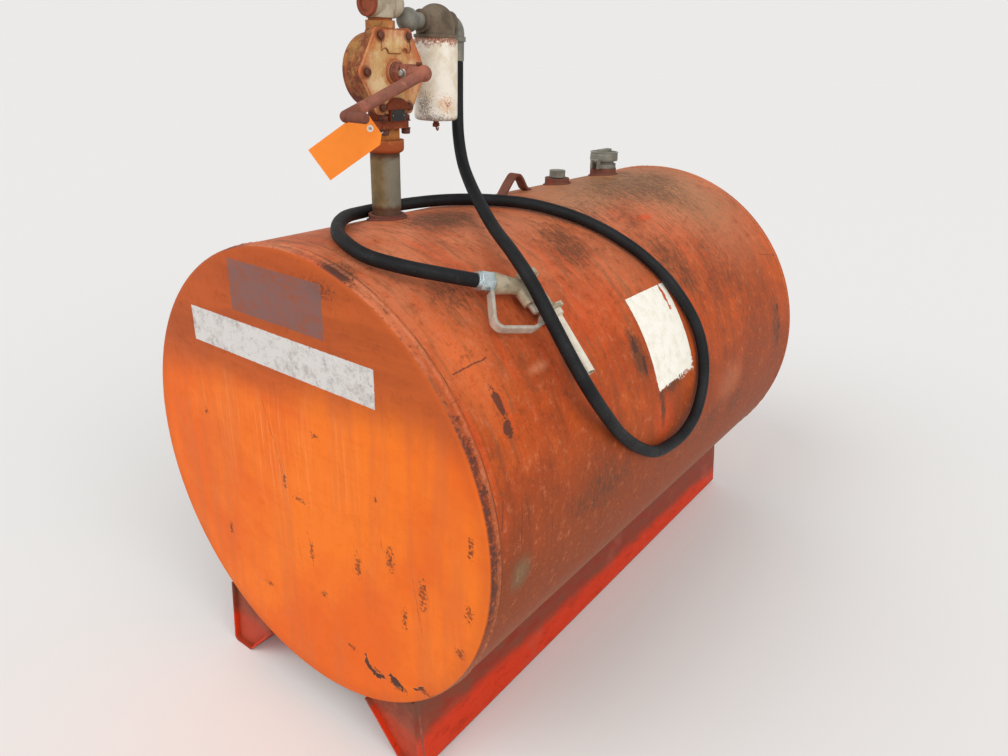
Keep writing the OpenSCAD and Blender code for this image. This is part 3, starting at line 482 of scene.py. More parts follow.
def makeHeadPaint(opts):
    mat, shader, where = newFinish("head_paint_worn", specular=0.2)
    x, y, z = split(where)
    noises = clouds(join(x, z, both(y, 0.5)), opts)
    blotch, mottle, grain, drips = (noises[k] for k in ("blotch", "mottle", "grain", "drips"))
    paint = spread(opts["orange"], noises, opts, "ground")
    paint = spread(paint, noises, opts, "dripping", soft(x, z, (-0.06, 0.68), (0.26, 0.16)))
    paint = spread(paint, noises, opts, "mottled")
    # the head darker above a line that slopes across it, with its own mottle
    line = plus(z, plus(both(x, -0.075), both(blotch, 0.08)))
    upperShare = between(plus(line, both(drips, 0.03)), 0.765, 0.885)
    paint = over(paint, spread(opts["upper"], noises, opts, "darkUpperHalf"), upperShare, 0.92)
    front = between(y, 0.1, -0.1)
    for at, height, halfWidth, halfHeight in opts["chips"]:
        share = cluster(x, z, (at, height), (halfWidth, halfHeight), grain, 0.15)
        paint = over(paint, opts["rust"], both(share, front), 0.85)
    waver = sway(mottle, 0.012)
    broken = between(mottle, 0.42, 0.54)
    for *line, half in opts["lines"]:
        share = both(scratch(x, z, line, half, waver), broken)
        paint = over(paint, opts["rust"], both(share, front), 0.7)
    jag = sway(noises["jags"], 0.020)
    for *line, half in opts["flaked"]:
        for colour, extra, strength in (("pale", opts["flakeLip"], 0.5), ("bare", 0.0, 0.95)):
            share = scratch(x, z, line, half + extra, jag, opts["flakeEdge"])
            paint = over(paint, opts[colour], both(share, front), strength)
    tear = sway(grain, 0.006)
    upper, strip = (panel(x, z, opts[k], tear, 0.001) for k in ("upperLabel", "lowerStrip"))
    worn = between(plus(both(mottle, 0.5), both(grain, 0.5)), 0.46, 0.60)
    paint = over(paint, over(opts["grey"], opts["upper"], worn, 0.6), both(upper, front), 0.85)
    paint = over(paint, spread(opts["white"], noises, opts, "stripWear"), both(strip, front))
    paint = spread(paint, noises, opts, "dotted")
    out = reach(x, less(z, tankSet["axisHeight"]))
    paint = over(paint, opts["upperTwo"], between(out, 0.440, 0.478), 0.35)
    paint = over(paint, shellColour(where, tankSet)[0], between(out, 0.4785, 0.4815))
    label = both(both(either(upper, strip), front), 0.5)
    heights = plus(cloud(where, 240, 3, 0.7), plus(mottle, label))
    dress(shader, paint, mottle, (0.46, 0.70), heights, 0.35, 0.0008)
    return mat


skidSet = {
    "red": (206, 52, 12),
    "dark": (122, 38, 20),
    "pink": (172, 88, 66),
    "dust": (108, 70, 52),
    "mud": (96, 76, 56),
    "noises": {"mottle": ((39, 15.6, 39), 8, 0.76), "patch": (7, 5, 0.65), "grain": (250, 4, 0.75),
               "chips": (90, 5, 0.8)},
    # noise, low, high, strength, colour
    "ground": [("mottle", 0.52, 0.74, 0.75, "dark"), ("grain", 0.54, 0.68, 0.65, "dark")],
    "upperSide": [("mottle", 0.36, 0.64, 1.0, "dust")],
    "oldEnd": [("mottle", 0.4, 0.62, 1.0, "pink")],
    "faded": [("patch", 0.55, 0.7, 0.35, "pink")],
    "chipped": [("chips", 0.64, 0.7, 0.6, "dark")],
    "endPlates": (0.735, 0.7365, 0.7405, 0.7425),        # metres along, from and to, soft at both
}


def makeSkidPaint(opts):
    mat, shader, where = newFinish("skid_paint_worn", specular=0.2)
    x, y, z = split(where)
    noises = clouds(where, opts)
    mottle, patch = noises["mottle"], noises["patch"]
    paint = spread(opts["red"], noises, opts, "ground")
    # the side darker above a line that slopes gently along the skid
    edge = plus(plus(plus(z, both(y, 0.025)), both(patch, 0.045)), both(mottle, 0.03))
    paint = over(paint, spread(opts["dark"], noises, opts, "upperSide"), between(edge, 0.092, 0.132), 0.85)
    far = calc("ABSOLUTE", y)
    near, nearFull, endFull, end = opts["endPlates"]
    plate = both(between(far, end, endFull), between(far, near, nearFull))
    paint = over(paint, spread(opts["dust"], noises, opts, "oldEnd"), plate, 0.9)
    paint = spread(paint, noises, opts, "faded")
    paint = over(paint, opts["dust"], between(plus(z, both(patch, 0.05)), 0.15, 0.19), 0.7)
    paint = over(paint, opts["mud"], between(plus(z, both(mottle, 0.03)), 0.035, 0.012), 0.55)
    paint = spread(paint, noises, opts, "chipped")
    dress(shader, paint, mottle, (0.45, 0.75), plus(noises["grain"], mottle), 0.4, 0.0010)
    return mat


# Finishes of the pump, the pipes and the small parts
print("iron, pipe and small finishes")
wornSet = {                  # what a finish has unless it says otherwise
    "metallic": 0.0,
    "specular": 0.3,
    "scale": 1.0,
    "rough": (0.5, 0.8),
    "runs": 0.4,
    "dirt": 0.5,
    "dirtColour": (70, 50, 38),
    "zones": [],             # boxes of another colour
    "rustRange": (0.55, 0.68),
    "rustTwo": (74, 44, 34),
    "rustShare": 0.9,
    "edge": 0.0,             # width of the worn edges
    "threads": [],           # height from and to, and pitch
    "bump": 0.5,
    "depth": 0.0008,
    "rounding": 0.0022,
}
zoneSet = {"soft": 0.006, "ragged": 0.02}    # metres


def wornFinish(name, base, second, rust, own):
    # paint or metal in two tones, with rust on edges and in patches
    opts = {**wornSet, **own}
    mat, shader, where = newFinish(name, metallic=opts["metallic"], specular=opts["specular"])
    patch = cloud(where, 22 * opts["scale"], 5, 0.65)
    mottle = cloud(where, 85 * opts["scale"], 8, 0.78)
    grain = cloud(where, 420 * opts["scale"], 5, 0.75)
    runs = cloud(where, (130, 130, 9), 6, 0.7)
    paint = mix(between(patch, 0.38, 0.66), base, second)
    paint = over(paint, second, between(runs, 0.50, 0.70), opts["runs"])
    paint = over(paint, opts["dirtColour"], between(mottle, 0.46, 0.28), opts["dirt"])
    for zone in opts["zones"]:
        share = zoneShare(where, {**zoneSet, **zone}, less(mottle, 0.5))
        paint = over(paint, zone["colour"], share, zone["strength"])
    share = between(plus(both(patch, 0.55), both(mottle, 0.45)), *opts["rustRange"])
    if opts["edge"]:
        share = either(share, both(edgeWear(opts["edge"], 0.86, 0.985), between(mottle, 0.3, 0.55)))
    rusty = mix(between(mottle, 0.35, 0.7), rust, opts["rustTwo"])
    paint = over(paint, rusty, share, opts["rustShare"])
    heights = plus(both(grain, 0.35), plus(mottle, both(share, 0.5)))
    for low, high, pitch in opts["threads"]:
        z = split(where)[2]
        wave = calc("SINE", both(z, 2 * math.pi / pitch))
        span = both(between(z, low, low + 0.001), between(z, high, high - 0.001))
        heights = plus(heights, both(both(wave, span), 1.2))
    dress(shader, paint, mottle, opts["rough"], heights, opts["bump"], opts["depth"], opts["rounding"])
    return mat


def zoneShare(where, zone, waver):       # 1 inside a box, which is open along an axis that isn't named
    share, blur = 1.0, zone["soft"]
    for axis, name in enumerate("xyz"):
        if name in zone:
            low, high = zone[name]
            v = plus(split(where)[axis], both(waver, zone["ragged"]))
            share = both(share, both(between(v, low - blur, low + blur), between(v, high + blur, high - blur)))
    return share


pumpSet = {
    "centre": (-0.427, 1.330),
    "coverFrom": -0.0335,    # metres across, where the cover's plate begins
    "boltRing": 0.0735,
    "boltRust": (0.012, 0.012),
    "cream": (226, 198, 150),
    "straw": (208, 164, 104),
    "orange": (188, 92, 44),
    "brown": (112, 54, 30),
    "olive": (166, 120, 62),
    # painted shade on the body's underside
    "dark": (84, 46, 30),
    "noises": {"patch": (17, 6, 0.68), "mottle": (70, 8, 0.78), "grain": (320, 6, 0.78),
               "runs": ((120, 120, 11), 7, 0.72, 0.3)},
}


def makePumpPaint(opts):
    mat, shader, where = newFinish("pump_paint_worn", specular=0.3)
    x, y, z = split(where)
    dy, dz = less(y, opts["centre"][0]), less(z, opts["centre"][1])
    out = reach(dy, dz)
    noises = clouds(where, opts)
    patch, mottle, grain, runs = (noises[k] for k in ("patch", "mottle", "grain", "runs"))
    # the cover: cream in the middle, orange rust towards its edges and below the fasteners
    cover = mix(between(patch, 0.38, 0.62), opts["cream"], opts["straw"])
    for value, waver, low, high, strength, colour in (
            (out, sway(mottle, 0.07), 0.050, 0.086, 0.85, "orange"),
            (dy, sway(patch, 0.16), 0.020, 0.062, 0.65, "orange"),
            (out, sway(mottle, 0.05), 0.036, 0.022, 0.7, "orange"),
            (dz, sway(patch, 0.10), -0.030, -0.075, 0.5, "straw")):
        cover = over(cover, opts[colour], between(plus(value, waver), low, high), strength)
    drip = both(between(runs, 0.52, 0.66), between(dz, 0.07, -0.02, 0.9, 0.4))
    cover = over(cover, opts["orange"], drip, 0.55)
    cover = over(cover, opts["brown"], between(mottle, 0.42, 0.26), 0.85)
    for k in range(6):       # rust round each bolt
        turn = math.radians(60 * k)
        at = (opts["boltRing"] * math.cos(turn), opts["boltRing"] * math.sin(turn))
        ring = plus(away(dy, dz, at, opts["boltRust"]), sway(mottle, 1.2))
        cover = over(cover, opts["brown"], between(ring, 1.25, 0.7), 0.75)
    # the body: olive yellow that shows through dark rust
    body = mix(between(plus(both(patch, 0.6), both(mottle, 0.4)), 0.42, 0.56), opts["olive"], opts["brown"])
    body = over(body, opts["orange"], between(runs, 0.50, 0.62), 0.5)
    # painted shade: the body darker towards its underside
    body = over(body, opts["dark"], between(dz, -0.02, -0.08), 0.6)
    paint = mix(between(x, opts["coverFrom"] - 0.0005, opts["coverFrom"] + 0.0005), body, cover)
    neck = mix(between(mottle, 0.4, 0.6), opts["olive"], opts["orange"])
    paint = over(paint, neck, between(dz, 0.084, 0.090), 0.75)
    worn = both(edgeWear(0.005, 0.84, 0.985), between(mottle, 0.32, 0.52))
    paint = over(paint, mix(mottle, opts["orange"], opts["brown"]), worn, 0.85)
    paint = over(paint, opts["brown"], between(grain, 0.62, 0.70), 0.6)
    heights = plus(both(grain, 0.4), plus(mottle, both(patch, 0.6)))
    dress(shader, paint, mottle, (0.5, 0.8), heights, 0.6, 0.0009, 0.0026)
    return mat


canSet = {
    "centre": (-0.061, -0.270),
    "radius": 0.046,
    "top": 1.3921,
    "foot": 1.244,
    "white": (244, 238, 224),
    "cream": (226, 212, 186),
    "orange": (222, 152, 84),
    "rust": (156, 82, 46),
    "grey": (140, 130, 120),
    "noises": {"patch": (24, 5, 0.65), "mottle": (95, 8, 0.78), "grain": (330, 6, 0.80)},
    # degrees round the can, height, size round, size along, colour
    "patches": [(-18, 1.268, 0.022, 0.022, "orange"), (-14, 1.268, 0.009, 0.008, "rust"),
                (-82, 1.262, 0.022, 0.030, "grey"), (-96, 1.330, 0.012, 0.050, "orange"),
                (60, 1.300, 0.024, 0.040, "orange"), (150, 1.290, 0.040, 0.050, "grey"),
                (-55, 1.240, 0.030, 0.010, "grey")],
}


def makeCanPaint(opts):
    mat, shader, where = newFinish("can_paint_worn", specular=0.35)
    x, y, z = split(where)
    arc = both(calc("ARCTAN2", less(y, opts["centre"][1]), less(x, opts["centre"][0])), opts["radius"])
    noises = clouds(where, opts)
    mottle, grain = noises["mottle"], noises["grain"]
    paint = mix(between(noises["patch"], 0.42, 0.66), opts["white"], opts["cream"])
    for degrees, height, sizeRound, sizeAlong, colour in opts["patches"]:
        at = (math.radians(degrees) * opts["radius"], height)
        paint = over(paint, opts[colour], cluster(arc, z, at, (sizeRound, sizeAlong), grain, 0.14), 0.85)
    edge = plus(z, sway(mottle, 0.07))
    rim = both(between(edge, opts["top"] - 0.014, opts["top"] - 0.004), between(grain, 0.40, 0.52, 0.3, 1.0))
    paint = over(paint, opts["rust"], rim)
    paint = over(paint, opts["grey"], between(edge, opts["foot"], opts["foot"] - 0.008), 0.6)
    paint = over(paint, opts["rust"], between(grain, 0.66, 0.70), 0.8)
    dress(shader, paint, mottle, (0.35, 0.6), plus(grain, mottle), 0.25, 0.0006)
    return mat


rustOrange, rustBrown = (178, 92, 46), (110, 58, 38)
pumpPaint, canPaint = makePumpPaint(pumpSet), makeCanPaint(canSet)
rustyIron = wornFinish("rusty_iron", (150, 74, 46), (118, 56, 34), (176, 90, 50),
                       {"rustRange": (0.52, 0.66), "rough": (0.6, 0.9), "rustTwo": (84, 46, 32)})
footIron = wornFinish("foot_iron", (128, 58, 26), (108, 44, 20), (188, 118, 56),
                      {"rustRange": (0.56, 0.66), "rough": (0.6, 0.9), "rustTwo": (190, 134, 66),
                       "zones": [{"z": (1.20, 1.224), "colour": (196, 128, 62), "strength": 0.75,
                                  "ragged": 0.05},
                                 {"z": (1.17, 1.204), "colour": (172, 84, 40), "strength": 0.75,
                                  "ragged": 0.01}]})
crankIron = wornFinish("crank_iron", (168, 100, 78), (120, 76, 64), (200, 126, 94),
                       {"rustRange": (0.52, 0.62), "rough": (0.5, 0.8), "rustTwo": (110, 62, 50),
                        "dirtColour": (84, 54, 50), "dirt": 0.8,
                        "zones": [{"y": (-0.66, -0.596), "colour": (104, 56, 42), "strength": 0.7}]})
bungIron = wornFinish("bung_iron", (122, 74, 58), (96, 60, 48), (168, 70, 48),
                      {"rustRange": (0.50, 0.64), "rough": (0.6, 0.9), "rustTwo": (128, 52, 44)})
galvanised = wornFinish("galvanised_dull", (142, 138, 126), (112, 110, 100), rustBrown,
                        {"rustRange": (0.60, 0.72), "runs": 0.55, "metallic": 0.15, "rough": (0.42, 0.65),
                         "bump": 0.3})
riserPipe = wornFinish("riser_pipe_dull", (132, 110, 72), (104, 90, 60), rustBrown,
                       {"rustRange": (0.62, 0.74), "runs": 0.7, "metallic": 0.1, "rough": (0.45, 0.7),
                        "bump": 0.3, "rounding": 0.0,
                        "threads": [(1.0541, 1.066, 0.0022), (1.168, 1.1781, 0.0022)],
                        "zones": [{"x": (-0.040, 0.0), "colour": (132, 134, 124), "strength": 0.6,
                                   "soft": 0.008, "ragged": 0.04},
                                  {"z": (1.04, 1.072), "colour": (92, 56, 38), "strength": 0.85,
                                   "ragged": 0.03},
                                  {"z": (1.168, 1.19), "colour": (84, 50, 30), "strength": 0.9,
                                   "ragged": 0.03}]})
palePaint = wornFinish("pale_paint_worn", (182, 170, 148), (150, 136, 112), rustOrange,
                       {"edge": 0.004, "rustRange": (0.58, 0.70), "rough": (0.5, 0.75), "bump": 0.4})
spoutPaint = wornFinish("spout_paint", (236, 228, 210), (214, 202, 180), (170, 140, 110),
                        {"rustRange": (0.60, 0.74), "rough": (0.35, 0.6), "bump": 0.2})
darkCasting = wornFinish("dark_casting", (116, 100, 82), (84, 72, 58), (126, 96, 66),
                         {"rustRange": (0.54, 0.7), "rough": (0.55, 0.85)})
boltIron = wornFinish("bolt_iron", (112, 62, 44), (82, 50, 40), (138, 74, 48),
                      {"rustRange": (0.52, 0.66), "rough": (0.5, 0.8), "rounding": 0.0008, "scale": 2.0})
brightBolt = wornFinish("bright_bolt", (170, 168, 160), (128, 124, 116), (120, 92, 70),
                        {"metallic": 0.7, "rustRange": (0.56, 0.7), "rough": (0.3, 0.5), "rounding": 0.0006,
                         "scale": 2.0})
castAlloy = wornFinish("cast_alloy", (200, 186, 160), (166, 150, 124), (132, 108, 82),
                       {"rustRange": (0.57, 0.72), "rustShare": 0.6, "metallic": 0.2, "rough": (0.38, 0.6),
                        "bump": 0.5, "rustTwo": (98, 84, 66), "dirt": 0.7, "rounding": 0.003})
guardAlloy = wornFinish("guard_alloy", (206, 194, 178), (168, 154, 138), (132, 116, 98),
                        {"rustRange": (0.57, 0.72), "rustShare": 0.6, "metallic": 0.25, "rough": (0.34, 0.55),
                         "bump": 0.4, "rustTwo": (98, 84, 66), "rounding": 0.0035})
brightPlate = wornFinish("bright_plate", (226, 236, 238), (186, 200, 204), (120, 120, 122),
                         {"rustRange": (0.7, 0.84), "rustShare": 0.2, "metallic": 0.85, "rough": (0.24, 0.32),
                          "bump": 0.01, "rounding": 0.001, "dirt": 0.0, "runs": 0.0})


def makeRubber():
    mat, shader, where = newFinish("hose_rubber_matte", specular=0.25)
    rub = cloud(where, 130, 5, 0.75)
    colour = mix(between(cloud(where, 16, 5, 0.65), 0.35, 0.7), (15, 16, 18), (30, 31, 33))
    colour = over(colour, (84, 78, 72), between(rub, 0.56, 0.75), 0.4)
    bump = place("ShaderNodeBump", {"Strength": 0.35, "Distance": 0.0005, "Height": cloud(where, 420, 3, 0.6)})
    feed(shader.inputs["Base Color"], colour)
    feed(shader.inputs["Roughness"], between(rub, 0.3, 0.8, 0.52, 0.78))
    feed(shader.inputs["Normal"], bump.outputs[0])
    return mat


def makeCard():
    mat, shader, where = newFinish("tag_card_blank", roughness=0.62, specular=0.3)
    smudge = between(cloud(where, 30, 5, 0.65), 0.45, 0.75)
    bump = place("ShaderNodeBump", {"Strength": 0.2, "Distance": 0.0003, "Height": cloud(where, 380, 4, 0.7)})
    feed(shader.inputs["Base Color"], mix(both(smudge, 0.35), (252, 142, 46), (228, 118, 34)))
    feed(shader.inputs["Normal"], bump.outputs[0])
    return mat


def makeWireCoat():
    mat, shader, where = newFinish("wire_coat", roughness=0.45)
    feed(shader.inputs["Base Color"], mix(cloud(where, 90, 3), (230, 228, 222), (204, 200, 190)))
    return mat


tankPaint, headPaint, skidPaint = makeTankPaint(tankSet), makeHeadPaint(headSet), makeSkidPaint(skidSet)
rubber, card, wireCoat = makeRubber(), makeCard(), makeWireCoat()
plateEnamel = wornFinish("plate_enamel", (36, 36, 34), (56, 52, 46), (110, 70, 48),
                         {"rustRange": (0.62, 0.74), "rough": (0.3, 0.5), "bump": 0.2, "rounding": 0.0,
                          "edge": 0.001})
finishOf = {
    "tank_paint": tankPaint, "head_paint": headPaint, "skid_paint": skidPaint, "pump_paint": pumpPaint,
    "rusty_iron": rustyIron, "galvanised": galvanised, "pale_paint": palePaint,
    "dark_casting": darkCasting, "hose_rubber": rubber, "bright_plate": brightPlate,
    "cast_alloy": castAlloy, "tag_card": card, "wire_coat": wireCoat,
}
special = {           # nodes whose paint or rust differs from the rest of their slot
    "pump_crank": crankIron, "crank_knob": crankIron, "pump_foot": footIron, "pump_inlet_hub": footIron,
    "pump_gland": crankIron, "pump_bung": bungIron, "vent_bung": bungIron, "fill_bung": bungIron,
    "riser_pipe": riserPipe, "filter_canister": canPaint, "nozzle_spout": spoutPaint,
    "nozzle_guard": guardAlloy, "nozzle_plunger": guardAlloy,
}
hose.data.materials.append(rubber)
for part in frame["record"]["subparts"]:
    solid = nodes[part["node"]]
    for slotOfSolid in solid.material_slots:
        slotOfSolid.material = special.get(part["node"], finishOf[part["material_slot"]])

# Tools for the meshes


def addPiece(name, bm, finish, body="root", smooth=True):
    data = bpy.data.meshes.new(name)
    bm.normal_update()
    bm.to_mesh(data)
    bm.free()
    for face in data.polygons:
        face.use_smooth = smooth
    piece = bpy.data.objects.new(name, data)
    bpy.context.scene.collection.objects.link(piece)
    data.materials.append(finish)
    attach(piece, body)
    return piece


def ringOn(bm, centre, ahead, radius, sides, ref):
    side = (ref - ref.dot(ahead) * ahead).normalized()
    top = ahead.cross(side)
    out = []
    for k in range(sides):
        turn = 2 * math.pi * k / sides
        out.append(bm.verts.new(centre + radius * (math.cos(turn) * side + math.sin(turn) * top)))
    return out


def skinRings(bm, rings, closed=False):
    pairs = list(zip(rings, rings[1:])) + ([(rings[-1], rings[0])] if closed else [])
    for a, b in pairs:
        for k in range(len(a)):
            bm.faces.new((a[k], a[(k + 1) % len(a)], b[(k + 1) % len(a)], b[k]))
    if not closed:
        bm.faces.new(list(reversed(rings[0])))
        bm.faces.new(rings[-1])


beadSet = {"ripple": 0.0032, "wobble": 0.18, "sides": 8}


def layBead(bm, line, radius, ref, closed, opts=beadSet):
    # a weld bead along a line of points, with the ripples of its pools
    rings = []
    count = len(line)
    run = 0.0
    for i, at in enumerate(line):
        after = line[(i + 1) % count] if closed or i < count - 1 else line[i]
        before = line[i - 1] if closed or i > 0 else line[i]
        ahead = (after - before).normalized()
        if i:
            run += (at - line[i - 1]).length
        pool = abs(math.sin(math.pi * run / opts["ripple"]))
        size = radius * (0.86 + opts["wobble"] * pool + 0.25 * noise.noise(at * 90))
        rings.append(ringOn(bm, at, ahead, size, opts["sides"], ref))
    skinRings(bm, rings, closed)


def circleLine(centre, axis, radius, step):
    axis = Vector(axis).normalized()
    side = axis.orthogonal().normalized()
    top = axis.cross(side)
    count = int(2 * math.pi * radius / step)
    return [Vector(centre) + radius * (math.cos(2 * math.pi * i / count) * side
                                       + math.sin(2 * math.pi * i / count) * top) for i in range(count)]


print("welds")
weldSet = {
    "headSeam": 0.7275,      # metres from the middle of the tank
    "seamBead": 0.0048,
    "seamSink": 0.0028,
    "seamStep": 0.0016,
    "bungBead": 0.0032,
    "bungGap": 0.0015,
    "bungStep": 0.0014,
    "lift": 0.0012,          # of the bung and skid beads from the skin
    "lineX": -0.061,
    "skidEdges": (18.6, 38.3),               # degrees from the bottom
    "skidBead": 0.0034,
    "stitch": 0.055,
    "stitchParts": 24,
    "stitches": (-0.70, -0.50, -0.26, 0.0, 0.26, 0.50, 0.70),
    # place along the tank and radius of each welded bung
    "bungs": [(-0.426, 0.038), (0.221, 0.033), (0.468, 0.038)],
}


def onShell(x, y, lift):                 # point of the shell's skin above x, y
    r = tankSet["radius"] + lift
    return Vector((x, y, tankSet["axisHeight"] + math.sqrt(r * r - x * x)))


def makeWelds(opts):
    bm = bmesh.new()
    for end in (-1, 1):
        line = circleLine((0, end * opts["headSeam"], tankSet["axisHeight"]), (0, 1, 0),
                          tankSet["radius"] - opts["seamSink"], opts["seamStep"])
        layBead(bm, line, opts["seamBead"], Vector((0, 1, 0)), True)
    addPiece("head_seam_welds", bm, tankPaint)
    bm = bmesh.new()
    for y, radius in opts["bungs"]:
        line = []
        for at in circleLine((opts["lineX"], y, 0), (0, 0, 1), radius + opts["bungGap"], opts["bungStep"]):
            line.append(onShell(at.x, at.y, opts["lift"]))
        layBead(bm, line, opts["bungBead"], Vector((0, 0, 1)), True)
    addPiece("bung_welds", bm, bungIron)
    bm = bmesh.new()
    for side in (-1, 1):
        for degrees in opts["skidEdges"]:
            a = math.radians(degrees)
            r = tankSet["radius"] + opts["lift"]
            x, z = side * r * math.sin(a), tankSet["axisHeight"] - r * math.cos(a)
            out = Vector((side * math.sin(a), 0, -math.cos(a)))
            for middle in opts["stitches"]:
                line = [Vector((x, middle + opts["stitch"] * (i / opts["stitchParts"] - 0.5), z))
                        for i in range(opts["stitchParts"] + 1)]
                layBead(bm, line, opts["skidBead"], out, False)
    addPiece("skid_welds", bm, skidPaint)


makeWelds(weldSet)

print("lifting lug")
lugSet = {
    "middle": (-0.061, 0.023),
    "width": 0.026,
    "thick": 0.0075,
    # its section, in halves of width and thickness
    "section": [(1, 0.7), (0.93, 1), (-0.93, 1), (-1, 0.7), (-1, -0.7), (-0.93, -1), (0.93, -1), (1, -0.7)],
    # along the tank and above the skin, from one foot to the other
    "line": [(-0.0560, -0.006), (-0.0420, 0.010), (-0.0265, 0.026), (-0.0130, 0.0385), (-0.0060, 0.0432),
             (0.0010, 0.0440), (0.0085, 0.0425), (0.0170, 0.0370), (0.0265, 0.0265), (0.0340, 0.0165),
             (0.0410, 0.0085), (0.0500, 0.0035), (0.0590, 0.0012)],
}


def makeLug(opts):           # a flat strap bent over, with one foot turned out
    bm = bmesh.new()
    line = smoothPath([(0, y, z) for y, z in opts["line"]], 4)
    rings = []
    seat = tankSet["axisHeight"] + math.sqrt(tankSet["radius"] ** 2 - opts["middle"][0] ** 2)
    for i, at in enumerate(line):
        ahead = (line[min(i + 1, len(line) - 1)] - line[max(i - 1, 0)]).normalized()
        up = Vector((1, 0, 0)).cross(ahead)
        half, thick = opts["width"] / 2, opts["thick"] / 2 * (1 + 0.10 * noise.noise(at * 60))
        centre = Vector((opts["middle"][0], opts["middle"][1], seat)) + at
        ring = []
        for a, b in opts["section"]:
            ring.append(bm.verts.new(centre + Vector((half * a, 0, 0)) + up * (thick * b)))
        rings.append(ring)
    skinRings(bm, rings)
    lug = addPiece("lug_strap", bm, bungIron, smooth=False)
    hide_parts("lifting_lug")


makeLug(lugSet)

print("bolts")
boltSet = {
    "coverFace": -0.026,
    "shaft": (-0.427, 1.33013),
    "ring": 0.0735,
    "across": 0.0127,
    "head": 0.0072,
    "foot": (-0.061, -0.426),
    "footReach": (0.031, 0.030),
    "flange": (1.22613, 1.24013),
    "sink": 0.0004,
    "footHead": (0.016, 0.010, 0.0100),      # across, height, washer's radius
    "studRadius": 0.0045,
    "stud": (0.009, 0.0165),
}


def hexHead(bm, at, axis, across, height, turn, washer=0.0):
    axis = Vector(axis).normalized()
    side = axis.orthogonal().normalized()
    top = axis.cross(side)
    if washer:
        rings = [ringOn(bm, at + axis * h, axis, r, 24, side)
                 for h, r in ((0, washer), (0.0012, washer), (0.0018, washer * 0.96))]
        skinRings(bm, rings)
    corner = across / math.sqrt(3)
    base = 0.0018 if washer else 0.0
    profile = [(base, 1.0), (base + height * 0.72, 1.0), (base + height * 0.93, 0.93), (base + height, 0.80)]
    rings = []
    for h, share in profile:
        ring = []
        for k in range(24):
            a = 2 * math.pi * k / 24
            flat = across / 2 / math.cos((a + math.pi / 6) % (math.pi / 3) - math.pi / 6)
            r = min(flat, corner * 0.985) if share == 1.0 else min(flat, corner * share)
            a += turn
            ring.append(bm.verts.new(at + axis * h + r * (math.cos(a) * side + math.sin(a) * top)))
        rings.append(ring)
    skinRings(bm, rings)


def makeBolts(opts):
    y0, z0 = opts["shaft"]
    bm = bmesh.new()
    for k in range(6):
        a = math.radians(60 * k)
        at = Vector((opts["coverFace"] - opts["sink"], y0 + opts["ring"] * math.cos(a),
                     z0 + opts["ring"] * math.sin(a)))
        hexHead(bm, at, (1, 0, 0), opts["across"], opts["head"], random.uniform(0, 1))
    addPiece("cover_bolts", bm, boltIron)
    bm = bmesh.new()
    x0, y0 = opts["foot"]
    low, high = opts["flange"]
    across, height, washer = opts["footHead"]
    for sx in (-1, 1):
        for sy in (-1, 1):
            x, y = x0 + sx * opts["footReach"][0], y0 + sy * opts["footReach"][1]
            up = Vector((0, 0, 1))
            hexHead(bm, Vector((x, y, high - opts["sink"])), up, across, height, random.uniform(0, 1), washer)
            skinRings(bm, [ringOn(bm, Vector((x, y, high + h)), up, opts["studRadius"], 12, Vector((1, 0, 0)))
                           for h in opts["stud"]])
            hexHead(bm, Vector((x, y, low + opts["sink"])), -up, across, height, random.uniform(0, 1), washer)
    addPiece("foot_bolts", bm, boltIron)


makeBolts(boltSet)

print("small parts of the pump")
trimSet = {
    "plate": ((-0.0186, -0.4275, 1.2515), 0.036, 0.021, 0.0012),     # middle, width, height, thickness
    "plateEdge": 0.0003,
    "rivetInset": 0.003,
    "rivet": [(-0.0002, 0.0014), (0.0004, 0.0013), (0.0008, 0.0008)],            # height, radius
    # place, direction, across, height, turn, washer's radius
    "setBolt": ((0.038, -0.427, 1.3425), (0, 0, 1), 0.0095, 0.007, 0.3),
    "blockBolt": ((0.0095, -0.4405, 1.3295), (0, -1, 0), 0.0111, 0.007, 0.2, 0.0085),
    # radius, sides, points
    "seal": (0.0007, 6, [
        (-0.0236, -0.4590, 1.3880), (-0.0236, -0.4535, 1.3770), (-0.0236, -0.4420, 1.3655),
        (-0.0236, -0.4290, 1.3700), (-0.0236, -0.4120, 1.3725), (-0.0236, -0.4000, 1.3672),
        (-0.0236, -0.3905, 1.3645), (-0.0236, -0.3840, 1.3720), (-0.0236, -0.3875, 1.3860)]),
    "drain": (0.0016, 8, [
        (-0.061, -0.270, 1.2205), (-0.0580, -0.2722, 1.2150), (-0.0520, -0.2765, 1.2130),
        (-0.0460, -0.2808, 1.2145), (-0.0435, -0.2826, 1.2190)]),
    "tagMiddle": (-0.032, -0.552, 1.203),
    "tagTurn": (36.4, 35),   # heading and slope in degrees
    "eyeAlong": 0.0545,
    "eyeRing": [(0.0027, 0.0004), (0.0027, 0.0007), (0.0062, 0.0007), (0.0064, 0.0004)],     # radius, height
    "lidBeads": [(-0.061, 0.468, 1.0905), (-0.061, 0.468, 1.1085)],
    "lidRadius": 0.0398,
    "lidBead": 0.0011,
    "lidStep": 0.003,
}


def boxRound(bm, middle, size, edge, ahead=(0, 0, 1)):
    # a plate with its edges broken: size across, size up, thickness, facing ahead
    ahead = Vector(ahead).normalized()
    side = Vector((0, 0, 1)).cross(ahead)
    side = side.normalized() if side.length > 0.01 else Vector((1, 0, 0))
    up = ahead.cross(side)
    a, b, t = size[0] / 2, size[1] / 2, size[2] / 2
    rings = []
    for depth, inset in ((-t, edge), (-t + edge, 0), (t - edge, 0), (t, edge)):
        w, h = a - inset, b - inset
        ring = []
        for u, v in ((w, h - edge), (w - edge, h), (-w + edge, h), (-w, h - edge),
                     (-w, -h + edge), (-w + edge, -h), (w - edge, -h), (w, -h + edge)):
            ring.append(bm.verts.new(Vector(middle) + u * side + v * up + depth * ahead))
        rings.append(ring)
    skinRings(bm, rings)


